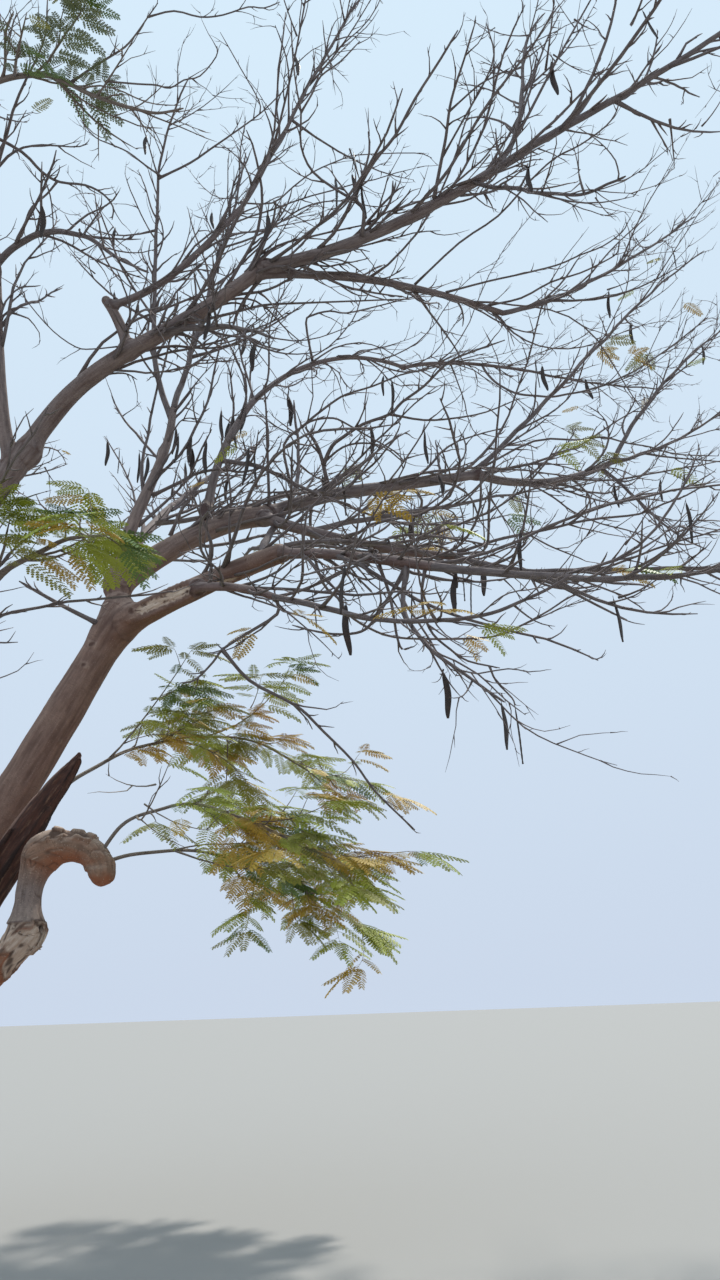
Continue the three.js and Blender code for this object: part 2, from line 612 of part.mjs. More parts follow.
// One mass: its stem, shoots, twigs, leaves and pods fused into one solid
function growMass(mass) {
  const stem = { path: mass.path, radius: mass.radius[0], thin: mass.radius[1], seed: mass.seed };
  const shoots = growShoots(stem, 0, mass);
  const twigs = shoots.flatMap((shoot) => growShoots(shoot, 1, mass));
  const solids = [stemSolid(mass, 0), ...shoots.map(twigSolid), ...twigs.map(twigSolid)];
  const leafSpots = spotsOf([...twigs, ...shoots, stem], LEAF_SHARES)
    .filter((spot) => spot.onStem <= (mass.leafyTo ?? 1));
  const podSpots = spotsOf([...shoots, ...twigs], POD_SHARES);
  if (mass.podEnd) {
    podSpots.unshift({ point: pointAt(mass.path, END_POD_SHARE), way: wayAt(mass.path, 1) });
  }
  const leaf = (spot, index) => leafAt(spot, index, mass);
  const pod = (spot, index) => podAt(spot, index, mass);
  solids.push(...dealtOut(leafSpots, mass.leaves ?? 0, LEAF.width, leaf));
  solids.push(...dealtOut(podSpots, mass.pods ?? 0, PODS_APART, pod));
  return wasm.Manifold.union(solids);
}

function meshOf(name, solid, material) {
  const shape = solid.getMesh();
  const geometry = new THREE.BufferGeometry();
  geometry.setAttribute('position', new THREE.BufferAttribute(shape.vertProperties, 3));
  geometry.setIndex(new THREE.BufferAttribute(shape.triVerts, 1));
  geometry.computeVertexNormals();
  const mesh = new THREE.Mesh(geometry, material);
  mesh.name = name;
  return mesh;
}

// The axes of all limbs and stems come first, because the twigs keep clear of every one
const limbNamed = new Map();
for (const limb of [...LIMBS, ...MASSES]) {
  plant(limb);
  limb.bounds = new THREE.Box3().setFromPoints(limb.path);
  limbNamed.set(limb.name, limb);
}

const tree = new THREE.Group();
tree.name = 'flame_tree';

const limbCutters = [];
for (const limb of LIMBS) {
  const solid = cutClear(limbSolid(limb, 0), limbCutters);
  limbCutters.push(limbSolid(limb, SEAT_GAP));
  tree.add(meshOf(limb.name, solid, FINISHES[limb.bark]));
}

const stemCutters = [];
for (const mass of MASSES) {
  const solid = cutClear(growMass(mass), [...limbCutters, ...stemCutters]);
  stemCutters.push(stemSolid(mass, SEAT_GAP));
  const finish = mass.leaves > LEAFY_FROM ? FINISHES.foliage : FINISHES.twigs;
  tree.add(meshOf(mass.name, solid, finish));
}

export default tree;
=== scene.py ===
# %% [markdown]
# # A big leaning flame tree in the dry season
# The tree has a trunk that leans out over its open side, a second stem from the same root, a broken
# stem whose bark and wood are torn, wide boughs, bare sinuous twigs with long flat pods, and a few
# feathery leaves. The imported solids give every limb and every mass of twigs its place. This script
# keeps those places and makes what a closer look shows: bark, collars, wounds, finer twigs, leaves.

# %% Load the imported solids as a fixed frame
import json
import math

import bmesh
import bpy
import numpy as np
from mathutils import Matrix, Vector, noise

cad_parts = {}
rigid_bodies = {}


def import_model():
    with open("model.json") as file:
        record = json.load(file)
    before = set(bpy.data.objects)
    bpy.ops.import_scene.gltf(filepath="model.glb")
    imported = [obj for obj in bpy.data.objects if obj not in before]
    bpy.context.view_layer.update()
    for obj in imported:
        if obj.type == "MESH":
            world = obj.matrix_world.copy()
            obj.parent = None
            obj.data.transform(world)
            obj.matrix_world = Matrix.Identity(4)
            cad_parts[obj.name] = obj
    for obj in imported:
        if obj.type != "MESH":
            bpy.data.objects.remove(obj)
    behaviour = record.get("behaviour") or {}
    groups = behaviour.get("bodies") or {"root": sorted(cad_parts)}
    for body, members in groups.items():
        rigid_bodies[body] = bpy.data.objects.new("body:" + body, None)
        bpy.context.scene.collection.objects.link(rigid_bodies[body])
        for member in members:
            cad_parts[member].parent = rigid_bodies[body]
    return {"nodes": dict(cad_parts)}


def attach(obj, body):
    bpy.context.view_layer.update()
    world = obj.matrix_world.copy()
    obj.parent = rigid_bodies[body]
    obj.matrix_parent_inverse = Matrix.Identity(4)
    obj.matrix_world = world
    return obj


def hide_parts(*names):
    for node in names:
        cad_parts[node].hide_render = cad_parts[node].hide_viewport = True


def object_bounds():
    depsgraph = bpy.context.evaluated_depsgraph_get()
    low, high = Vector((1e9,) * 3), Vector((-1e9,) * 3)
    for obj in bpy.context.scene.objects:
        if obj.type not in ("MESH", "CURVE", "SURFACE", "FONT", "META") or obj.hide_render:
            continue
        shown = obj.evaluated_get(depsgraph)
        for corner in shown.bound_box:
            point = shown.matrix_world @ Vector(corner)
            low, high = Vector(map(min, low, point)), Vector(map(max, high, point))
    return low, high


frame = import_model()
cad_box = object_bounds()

print("solids:", len(frame["nodes"]), "box:", cad_box)

# %% [markdown]
# The camera stands on the road beside the tree at head height and looks up into the crown. It is a
# plain phone lens, tilted up by about 21 degrees and rolled by 2. A camera object points along its
# own -Z, so its matrix takes the right, the up and the backward direction as its three columns.

# %% The camera at the view's place
VIEW_WIDTH, VIEW_HEIGHT = 720, 1280
FOCAL_PIXELS = 900
SENSOR = 36.0
EYE = Vector((3.9, -7.0, 1.5))
PITCH = math.radians(20.9)
ROLL = math.radians(2.0)


def camera_axes():
    forward = Vector((0, math.cos(PITCH), math.sin(PITCH)))
    level_up = Vector((0, -math.sin(PITCH), math.cos(PITCH)))
    right = Vector((1, 0, 0)) * math.cos(ROLL) - level_up * math.sin(ROLL)
    up = Vector((1, 0, 0)) * math.sin(ROLL) + level_up * math.cos(ROLL)
    return right, up, forward


def add_camera():
    right, up, forward = camera_axes()
    data = bpy.data.cameras.new("roadside_view")
    data.sensor_width = SENSOR
    data.lens = FOCAL_PIXELS / VIEW_HEIGHT * SENSOR
    data.clip_end = 500
    camera = bpy.data.objects.new("roadside_view", data)
    turn = Matrix((right, up, -forward)).transposed().to_4x4()
    camera.matrix_world = Matrix.Translation(EYE) @ turn
    bpy.context.scene.collection.objects.link(camera)
    bpy.context.scene.camera = camera


add_camera()
print("camera at", tuple(EYE), "looking", tuple(round(part, 3) for part in camera_axes()[2]))

# %% [markdown]
# The light is a bright hazy midday: a pale blue sky all round, a high sun a little behind the tree,
# and a pale floor that throws light up on the undersides of the boughs.

# %% Sky, sun and floor
SKY_LOW = (0.60, 0.69, 0.83, 1)
SKY_HIGH = (0.70, 0.87, 1.0, 1)
SKY_STRENGTH = 1.0
SUN_STRENGTH = 3.2
SUN_COLOUR = (1.0, 0.96, 0.90)
SUN_TURN = math.radians(-28)
SUN_TILT = math.radians(32)
SUN_SOFTNESS = math.radians(3)
FLOOR_SIZE = 90
FLOOR_COLOUR = (0.33, 0.32, 0.30, 1)
FLOOR_ROUGHNESS = 0.9
MIX_A, MIX_B, MIX_RESULT = 6, 7, 2    # the colour sockets of a Mix node


def node(tree, kind, sockets=None, **settings):
    """A shader node of that kind, with its sockets and its settings"""
    made = tree.nodes.new("ShaderNode" + kind)
    for key, value in settings.items():
        setattr(made, key, value)
    for key, value in (sockets or {}).items():
        feed(tree, made.inputs[key], value)
    return made


def feed(tree, socket, value):
    """Links an output to the socket, or sets the socket to a plain value"""
    if isinstance(value, bpy.types.NodeSocket):
        tree.links.new(value, socket)
    else:
        socket.default_value = value


def linear(code):
    """A linear colour with alpha from a six-digit screen colour"""
    parts = [int(code[index:index + 2], 16) / 255 for index in (0, 2, 4)]
    return (*[part / 12.92 if part <= 0.04045 else ((part + 0.055) / 1.055) ** 2.4 for part in parts], 1)


def mixed(tree, factor, first, second):
    """The colour between two, each a screen colour's code, a plain colour or another node's output"""
    first, second = (linear(colour) if isinstance(colour, str) else colour for colour in (first, second))
    sockets = {"Factor": factor, MIX_A: first, MIX_B: second}
    return node(tree, "Mix", sockets, data_type="RGBA").outputs[MIX_RESULT]


def new_material(title):
    """A material, its nodes and the sockets of its shader"""
    paint = bpy.data.materials.new(title)
    paint.use_nodes = True
    return paint, paint.node_tree, paint.node_tree.nodes["Principled BSDF"].inputs


def light_the_scene():
    world = bpy.data.worlds.new("hazy_sky")
    world.use_nodes = True
    tree = world.node_tree
    tree.nodes.clear()
    up = node(tree, "SeparateXYZ", {0: node(tree, "TexCoord").outputs["Generated"]}).outputs["Z"]
    sky = mixed(tree, up, SKY_LOW, SKY_HIGH)
    back = node(tree, "Background", {"Color": sky, "Strength": SKY_STRENGTH})
    node(tree, "OutputWorld", {"Surface": back.outputs[0]})
    bpy.context.scene.world = world
    bpy.context.scene.view_settings.view_transform = "Standard"
    sun = bpy.data.lights.new("high_sun", "SUN")
    sun.energy = SUN_STRENGTH
    sun.angle = SUN_SOFTNESS
    sun.color = SUN_COLOUR
    lamp = bpy.data.objects.new("high_sun", sun)
    lamp.rotation_euler = (-SUN_TILT, 0, SUN_TURN)
    bpy.context.scene.collection.objects.link(lamp)


def finished(bm, title):
    """The bmesh as a mesh of that name"""
    mesh = bpy.data.meshes.new(title)
    bm.to_mesh(mesh)
    bm.free()
    return mesh


def add_floor():
    bm = bmesh.new()
    bmesh.ops.create_grid(bm, x_segments=1, y_segments=1, size=FLOOR_SIZE / 2)
    mesh = finished(bm, "pale_floor")
    floor = bpy.data.objects.new("pale_floor", mesh)
    bpy.context.scene.collection.objects.link(floor)
    paint, _, skin = new_material("pale_floor")
    skin["Base Color"].default_value = FLOOR_COLOUR
    skin["Roughness"].default_value = FLOOR_ROUGHNESS
    mesh.materials.append(paint)


light_the_scene()
add_floor()
print("sun:", SUN_STRENGTH, "floor:", FLOOR_SIZE, "m wide")

# %% [markdown]
# Every limb and every stem is one path: where it leaves its bearer, a heading and a rise at its
# start, middle and end, a length and two radii. The same plan shaped the solids, so what is grown
# on these paths lies where the solids lie. Lengths are metres, angles are degrees.

# %% The plan of the limbs
# bearer, share of the way along it, headings, rises, length, radii, taper
LIMBS = {
    "trunk": (None, 0, (0, 0, 0), (76, 66, 62), 4.86, (0.192, 0.142), 1),
    "side_stem": ("trunk", 0.13, (-167, -18, 5), (77, 82, 57), 5.56, (0.150, 0.094), 1),
    "broken_stem": ("trunk", 0.08, (-26, -23, -8), (47, 43.5, 44), 2.16, (0.112, 0.118), 1),
    "broken_stem_upper": ("broken_stem", 1, (0, 0, 0), (88, 86, 50), 0.62, (0.088, 0.096), 1),
    "broken_elbow": ("broken_stem_upper", 0.9, (0, 0, 0), (32, -14, -84), 0.53, (0.106, 0.094), 1),
    "torn_wood": ("broken_stem", 0.44, (-17, 4, 7), (76, 64, 58), 2.40, (0.115, 0.020), 6),
    "upright_bough": ("trunk", 0.985, (-215, -306, -267), (87, 70, 82), 2.64, (0.112, 0.036), 0.35),
    "lower_bough": ("trunk", 0.965, (-20, -19, -25), (23, 15, 7), 1.62, (0.104, 0.080), 1),
    "middle_bough": ("upright_bough", 0.15, (24, 22, 13), (44, 37, 9), 1.57, (0.104, 0.098), 1),
    "far_arm": ("middle_bough", 1, (25, 24, 27), (34, 19, 23), 2.60, (0.070, 0.050), 1),
    "far_arm_end": ("far_arm", 1, (20, 22, 24), (-10, 18, 33), 1.99, (0.048, 0.033), 1),
    "near_arm": ("middle_bough", 0.96, (-34, -29, -35), (-30, -27, -20), 2.22, (0.056, 0.030), 1),
    "rising_bough": ("middle_bough", 0.62, (91, 38, 29), (74, 54, -5), 4.31, (0.058, 0.022), 0.4),
    "rising_arm": ("rising_bough", 1, (25, 22, 20), (28, 11.5, 3), 1.75, (0.024, 0.018), 1),
    "lower_arm": ("lower_bough", 1, (-38, -43.8, -41), (-16, -24.6, -24), 1.65, (0.044, 0.032), 1),
    "low_side_limb": ("lower_bough", 0.5, (-60, -47, -50), (-16, -22, -31), 1.27, (0.040, 0.026), 1),
    "high_bough": ("side_stem", 1, (-24, -22, -15), (66, 15, 40), 2.70, (0.088, 0.056), 1),
    "high_arm": ("high_bough", 1, (-15, -10, -13), (-5, 18, 27), 2.12, (0.052, 0.038), 1),
    "inner_arm": ("high_bough", 0.96, (4, 24, 14), (6, 8, -13), 2.40, (0.038, 0.026), 1),
    "elbow_stub": ("high_bough", 0.49, (-143, -150, -157), (72, 64, 54), 0.52, (0.050, 0.042), 1),
    "elbow_bough": ("elbow_stub", 0.9, (-9, -5, 5), (4, 45, 54), 1.57, (0.033, 0.025), 1),
    "tall_stem": ("side_stem", 0.965, (-128, -121, -128), (66, 80, 79), 2.08, (0.064, 0.050), 1),
    "tall_stem_top": ("tall_stem", 1, (-95, -93, -85), (62, 61, 45), 1.35, (0.044, 0.030), 1),
    "back_bough": ("upright_bough", 0.24, (102, 91, 79), (30, 41, 44), 2.70, (0.062, 0.040), 1),
    "left_bough": ("side_stem", 0.66, (178, 184, 178), (48, 34, 14), 2.90, (0.074, 0.046), 1),
    "back_left_bough": ("side_stem", 0.84, (126, 118, 110), (52, 40, 24), 3.00, (0.070, 0.042), 1),
    "leafy_limb": ("side_stem", 0.44, (-84, -52, -36), (30, 9.5, 15), 2.45, (0.056, 0.028), 1),
}
print("limbs planned:", len(LIMBS))

# %% The plan of the stems that carry the twigs
# bearer, share, headings, rises, length, radii, seed, leaves, pods
STEMS = {
    "far_upper_twigs": ("far_arm_end", 1, (24, 11, 14), (60, 49, 39), 2.95, (0.030, 0.009), 11, 0, 1),
    "far_right_twigs": ("far_arm_end", 0.95, (25, 25, 31), (24, 32, 44), 2.70, (0.026, 0.009), 12, 0, 1),
    "far_drooping_twigs":
        ("far_arm_end", 0.88, (-30, -44, -30), (-52, -59, -41), 1.70, (0.020, 0.008), 13, 0, 1),
    "far_leader_twigs": ("far_arm", 0.965, (18, 15, 15), (45, 49, 40), 5.36, (0.030, 0.009), 14, 2, 2),
    "near_tip_twigs": ("near_arm", 1, (-32, -24, -42), (-36, -10, -40), 2.70, (0.029, 0.008), 15, 1, 1),
    "near_inner_twigs": ("near_arm", 0.31, (21, 27, 32), (23, 20, 28), 2.90, (0.030, 0.009), 16, 2, 2),
    "lower_tip_twigs": ("lower_arm", 1, (-41, -35, -25), (-24, -17, 2), 2.30, (0.031, 0.008), 17, 2, 1),
    "hanging_twigs": ("lower_arm", 0.86, (-150, -45, -44), (-76, -52, -40), 1.50, (0.020, 0.007), 18, 0, 2),
    "lower_upright_twigs":
        ("lower_bough", 0.94, (114, 75, 138), (34, 54, 86), 3.58, (0.040, 0.011), 19, 1, 2),
    "sagging_twigs": ("low_side_limb", 1, (-41, -40, -30), (-24, -20, 23), 2.40, (0.024, 0.008), 20, 1, 1),
    "rising_tip_twigs": ("rising_arm", 1, (20, 19, 19), (3, 2.5, 14), 2.30, (0.017, 0.008), 21, 2, 1),
    "rising_side_twigs":
        ("rising_bough", 0.22, (-29, -31, -24), (-14, -39, -26), 1.75, (0.026, 0.008), 22, 1, 2),
    "rising_drooping_twigs":
        ("rising_arm", 0.66, (-29, -13, -20), (-78, 9, 33), 3.20, (0.015, 0.008), 23, 2, 1),
    "upright_left_twigs":
        ("upright_bough", 0.95, (127, 254, 316), (61, 87, 31), 4.30, (0.033, 0.009), 24, 0, 3),
    "upright_right_twigs": ("upright_bough", 1, (75, 42, -30), (70, 78, 80), 4.25, (0.035, 0.009), 25, 0, 3),
    "high_tip_twigs": ("high_arm", 1, (-9, -12, -13), (29, 28, 42), 3.70, (0.035, 0.009), 26, 0, 1),
    "high_upper_twigs": ("high_arm", 0.95, (20, 56, 22), (50, 74, 56), 3.55, (0.028, 0.008), 27, 0, 1),
    "high_drooping_twigs":
        ("high_arm", 0.9, (-53, -44, -72), (-45, -42, -25), 1.75, (0.020, 0.008), 28, 0, 1),
    "inner_arm_twigs": ("inner_arm", 1, (23, 14, 18), (25, 38, 41), 3.00, (0.025, 0.008), 29, 1, 1),
    "high_low_twigs": ("high_bough", 0.6, (-29, -35, -48), (-8, -29, -45), 1.55, (0.036, 0.009), 30, 0, 2),
    "elbow_bough_twigs": ("elbow_bough", 1, (-2, 6, 13), (65, 69, 63), 3.57, (0.023, 0.009), 31, 0, 2),
    "arching_twigs": ("tall_stem", 0.95, (-21, -25, -25), (50, -39, -33), 2.20, (0.034, 0.009), 32, 0, 1),
    "overhanging_foliage": ("tall_stem_top", 1, (-26, -6, -8), (32, -37, 10), 2.20, (0.030, 0.009), 33, 9, 0),
    "tall_stem_twigs": ("tall_stem_top", 0.9, (150, 120, 100), (55, 68, 62), 2.50, (0.027, 0.009), 34, 2, 1),
    "back_tip_twigs": ("back_bough", 1, (79, 68, 56), (44, 45, 42), 2.70, (0.037, 0.009), 35, 1, 1),
    "back_side_twigs": ("back_bough", 0.72, (25, 40, 34), (18, 30, 22), 2.70, (0.032, 0.009), 36, 1, 1),
    "left_tip_twigs": ("left_bough", 1, (178, 170, 160), (14, 28, 34), 2.50, (0.043, 0.010), 37, 2, 2),
    "left_side_twigs": ("left_bough", 0.62, (-128, -118, -108), (34, 24, 28), 2.30, (0.036, 0.009), 38, 2, 1),
    "back_left_twigs": ("back_left_bough", 1, (110, 104, 96), (24, 30, 38), 2.50, (0.039, 0.009), 39, 1, 2),
    "front_foliage": ("leafy_limb", 1, (-17, -14, -20), (34, 22, -14), 1.15, (0.026, 0.008), 40, 10, 0),
    "long_sprout_foliage": ("torn_wood", 0.81, (55, 33, 15), (44, 13, -45), 2.78, (0.017, 0.007), 41, 10, 0),
    "short_sprout_foliage":
        ("broken_elbow", 0.84, (-33, -13, -14), (60, -16, -23), 2.10, (0.014, 0.007), 42, 9, 0),
    "low_sprout_foliage": ("broken_elbow", 0.9, (39, 35, 6), (23, -12, -37), 2.25, (0.014, 0.007), 43, 9, 0),
}
print("stems planned:", len(STEMS))

# %% [markdown]
# A path is followed in 24 short steps whose direction turns smoothly. Seeded draws replace chance:
# the same seed always gives the same numbers, so the tree grows the same way every time. Blender's
# vector noise starts from the clock unless it is given a seed, so it gets one too.

# %% Paths and seeded draws
PATH_STEPS = 24
NOISE_SEED = 5
TIP_GAP = 0.00035
DRAW_MODULUS, DRAW_FACTOR = 2147483647, 48271
SEED_FACTOR, SEED_OFFSET = 7919, 17
UP = np.array((0.0, 0.0, 1.0))

noise.seed_set(NOISE_SEED)


def along(values, share):
    first, middle, last = values
    return (2 * (share - 0.5) * (share - 1) * first - 4 * share * (share - 1) * middle
            + 2 * share * (share - 0.5) * last)


def way_of(heading, rise):
    turn, climb = math.radians(heading), math.radians(rise)
    return np.array((math.cos(climb) * math.cos(turn), math.cos(climb) * math.sin(turn), math.sin(climb)))


def follow(start, heading, rise, length):
    path = [np.array(start, dtype=float)]
    for step in range(PATH_STEPS):
        share = (step + 0.5) / PATH_STEPS
        way = way_of(along(heading, share), along(rise, share))
        path.append(path[-1] + way * length / PATH_STEPS)
    return np.array(path)


def step_at(path, share):
    """The step of a path that a share of its way falls in, and the part of that step before it"""
    place = min(max(share, 0.0), 1.0) * (len(path) - 1)
    before = min(int(place), len(path) - 2)
    return before, place - before


def point_at(path, share):
    before, rest = step_at(path, share)
    return path[before] + (path[before + 1] - path[before]) * rest


def way_at(path, share):
    before = step_at(path, share)[0]
    return unit(path[before + 1] - path[before])


def unit(vector):
    return vector / math.sqrt(vector @ vector)


def cross(a, b):
    return np.array((a[1] * b[2] - a[2] * b[1], a[2] * b[0] - a[0] * b[2], a[0] * b[1] - a[1] * b[0]))


def drawer(seed):
    """Numbers between 0 and 1 that are always the same for the same seed"""
    state = (seed * SEED_FACTOR + SEED_OFFSET) % DRAW_MODULUS

    def draw():
        nonlocal state
        state = state * DRAW_FACTOR % DRAW_MODULUS
        return state / DRAW_MODULUS

    draw()
    draw()
    return draw


PATHS = {}
for name, row in [*LIMBS.items(), *STEMS.items()]:
    bearer, at, heading, rise, length = row[:5]
    start = np.zeros(3)
    if bearer:
        start = point_at(PATHS[bearer], at)
        if at == 1:
            start = start + TIP_GAP * way_at(PATHS[bearer], 1)
    PATHS[name] = follow(start, heading, rise, length)
print("paths:", len(PATHS), "highest:", round(max(path[:, 2].max() for path in PATHS.values()), 3))

# %% [markdown]
# ## Wood that runs together
# On a real tree a bough doesn't stick out of the trunk like a peg: the wood of both runs together
# in a soft collar. Tubes alone would show a hard line there. So each limb is first extruded ring by
# ring along its path, the limbs of one group are joined by a voxel remesh, and then every vertex is
# moved on to one smooth surface round all the limbs. That surface is the rounded union of the
# distances to the limbs, which fills each crotch by itself.

# %% The axis of each limb, as fine steps with radii
FLARE_REACH = 0.85
FLARE_HEIGHT = 0.380
FLARE_LOBES = 5
LOBE_DEPTH = 0.13
UNDERGROUND = 0.15
WANDER = 0.16
WANDER_PITCH = 9
SWELL = 0.05
SWELL_PITCH = 1.7
CALM_ENDS = 8
OWN_STEP = 1.37
FINE = 2


def smoothed(path, fine):
    """A smooth line through the points of a path, with that many steps for each of its own"""
    ends = np.vstack((2 * path[0] - path[1], path, 2 * path[-1] - path[-2]))
    before, here, after, beyond = ends[:-3], ends[1:-2], ends[2:-1], ends[3:]
    points = []
    for part in range(fine):
        t = part / fine
        points.append(0.5 * (2 * here + (after - before) * t
                             + (2 * before - 5 * here + 4 * after - beyond) * t * t
                             + (3 * here - before - 3 * after + beyond) * t ** 3))
    line = np.stack(points, axis=1).reshape(-1, 3)
    return np.vstack((line, path[-1:]))


def carried_sides(points):
    """Directions across a path, carried from one point to the next without twist"""
    ways = np.gradient(points, axis=0)
    ways /= np.linalg.norm(ways, axis=1)[:, None]
    side = np.array((1.0, 0.0, 0.0)) if abs(ways[0][2]) > 0.9 else UP
    sides = []
    for way in ways:
        side = side - way * (side @ way)
        side = side / np.linalg.norm(side)
        sides.append(side)
    sides = np.array(sides)
    return ways, sides, np.cross(ways, sides)


def own_number(name):
    """A number of its own for each limb, so that no two share the same noise"""
    return sum(ord(letter) * (index + 1) for index, letter in enumerate(name)) % 97 * OWN_STEP


def path_length(path):
    return float(np.linalg.norm(np.diff(path, axis=0), axis=1).sum())


def limb_axis(name, path, length, radii, taper, bearer):
    points = smoothed(path, FINE)
    share = np.linspace(0, 1, len(points))
    radius = radii[0] + (radii[1] - radii[0]) * share ** taper
    spots = [Vector((spot / (WANDER_PITCH * radii[0]), 0, own_number(name))) for spot in share * length]
    drift = np.array([(*noise.noise_vector(spot), noise.noise(spot * SWELL_PITCH)) for spot in spots])
    calm = np.minimum(1, np.minimum(share, 1 - share) * CALM_ENDS)
    points = points + drift[:, :3] * (WANDER * radius * calm)[:, None]
    radius = radius * (1 + SWELL * drift[:, 3])
    if bearer is None:
        points = np.vstack((points[0] - UP * UNDERGROUND, points))
        share = np.append(0, share)
        radius = np.append(radius[0], radius)
    ways, sides, others = carried_sides(points)
    return {"points": points, "share": share, "radius": radius, "length": length, "thick": radii[0],
            "ways": ways, "sides": sides, "others": others, "flared": bearer is None}


def flare(share, length, angle):
    near = np.exp(-share * length / FLARE_HEIGHT)
    lobes = 1 + LOBE_DEPTH * np.cos(FLARE_LOBES * angle)
    return 1 + FLARE_REACH * near * lobes + (lobes - 1) * near


AXES = {}
OWN_NUMBER = {name: own_number(name) for name in LIMBS}
for name, (bearer, at, heading, rise, length, radii, taper) in LIMBS.items():
    AXES[name] = limb_axis(name, PATHS[name], length, radii, taper, bearer)
print("limb axes:", len(AXES))

# %% A limb's body, extruded ring by ring along its axis
RING_SIDES = 20


def ring_matrix(axis, index, radius):
    turn = Matrix((axis["sides"][index], axis["others"][index], axis["ways"][index])).transposed()
    return Matrix.Translation(axis["points"][index]) @ (turn * radius).to_4x4()


def extrude_rings(matrices, sides):
    """A tube with flat ends: a unit circle under the first matrix, extruded to each of the others"""
    bm = bmesh.new()
    bmesh.ops.create_circle(bm, cap_ends=False, segments=sides, radius=1, matrix=matrices[0])
    edges = bm.edges[:]
    bmesh.ops.contextual_create(bm, geom=edges)
    for before, now in zip(matrices, matrices[1:]):
        grown = bmesh.ops.extrude_edge_only(bm, edges=edges)["geom"]
        ring = [item for item in grown if isinstance(item, bmesh.types.BMVert)]
        edges = [item for item in grown if isinstance(item, bmesh.types.BMEdge)]
        bmesh.ops.transform(bm, matrix=now @ before.inverted(), verts=ring)
    bmesh.ops.contextual_create(bm, geom=edges)
    return bm


def limbs_mesh(names):
    """The tubes of these limbs in one mesh, still crossing one another"""
    joined = bmesh.new()
    for name in names:
        axis = AXES[name]
        radii = axis["radius"] * (flare(axis["share"], axis["length"], 0) if axis["flared"] else 1)
        bm = extrude_rings([ring_matrix(axis, *ring) for ring in enumerate(radii)], RING_SIDES)
        bmesh.ops.recalc_face_normals(bm, faces=bm.faces[:])
        part = finished(bm, name)
        joined.from_mesh(part)
        bpy.data.meshes.remove(part)
    return finished(joined, "limbs")


def remeshed(mesh, voxel):
    """The mesh's outer surface in even small squares: inner walls where limbs cross are gone"""
    rough = bpy.data.objects.new("rough", mesh)
    bpy.context.scene.collection.objects.link(rough)
    join = rough.modifiers.new("join", "REMESH")
    join.mode = "VOXEL"
    join.voxel_size = voxel
    bpy.context.view_layer.update()
    whole = bpy.data.meshes.new_from_object(rough.evaluated_get(bpy.context.evaluated_depsgraph_get()))
    bpy.data.objects.remove(rough)
    return whole


# %% Distances from points to the limbs
CHUNK = 20000


def measure(axis, points):
    """For each point: distance to the limb's surface, share of its way, and place across it"""
    starts = axis["points"][:-1]
    steps = axis["points"][1:] - starts
    squares = (steps * steps).sum(axis=1)
    rows = []
    for first in range(0, len(points), CHUNK):
        part = points[first:first + CHUNK]
        offset = part[:, None, :] - starts[None]
        t = np.clip((offset * steps).sum(axis=2) / squares, 0, 1)
        gap = offset - t[..., None] * steps
        square = (gap * gap).sum(axis=2)
        best = square.argmin(axis=1)
        pick = np.arange(len(part))
        t, gap = t[pick, best], gap[pick, best]
        mix = t[:, None]
        side = axis["sides"][best] * (1 - mix) + axis["sides"][best + 1] * mix
        other = axis["others"][best] * (1 - mix) + axis["others"][best + 1] * mix
        share = axis["share"][best] * (1 - t) + axis["share"][best + 1] * t
        radius = axis["radius"][best] * (1 - t) + axis["radius"][best + 1] * t
        x, y = (gap * side).sum(axis=1), (gap * other).sum(axis=1)
        if axis["flared"]:
            radius = radius * flare(share, axis["length"], np.arctan2(y, x))
        rows.append(np.stack((np.sqrt(square[pick, best]) - radius, share, x, y, radius), axis=1))
    return np.vstack(rows)


BLEND = 1.5
FAR_OFF = 9.0
BOX_MARGIN = 0.32


def measure_near(axis, points):
    """The same table, with points far from the limb's box left as far off"""
    reach = BOX_MARGIN + axis["thick"] * (2 if axis["flared"] else 1)
    low, high = axis["points"].min(axis=0) - reach, axis["points"].max(axis=0) + reach
    near = ((points > low) & (points < high)).all(axis=1)
    table = np.tile((FAR_OFF, 0.0, 1.0, 0.0, 1.0), (len(points), 1))
    if near.any():
        table[near] = measure(axis, points[near])
    return table


def rounded_union(names, points):
    """Distance to the smooth surface round all these limbs, and what the nearest limb says"""
    tables = np.stack([measure_near(AXES[name], points) for name in names])
    order = np.argsort(tables[:, :, 0], axis=0)
    pick = np.arange(len(points))
    nearest = tables[order[0], pick]
    distance = nearest[:, 0]
    gap = np.full(len(points), FAR_OFF)
    if len(names) > 1:
        second = tables[order[1], pick]
        thick = np.array([AXES[name]["thick"] for name in names])
        reach = BLEND * np.minimum(thick[order[0]], thick[order[1]])
        gap = second[:, 0] - distance
        distance = distance - np.maximum(reach - gap, 0) ** 2 / (4 * reach)
    return distance, nearest, order[0], gap
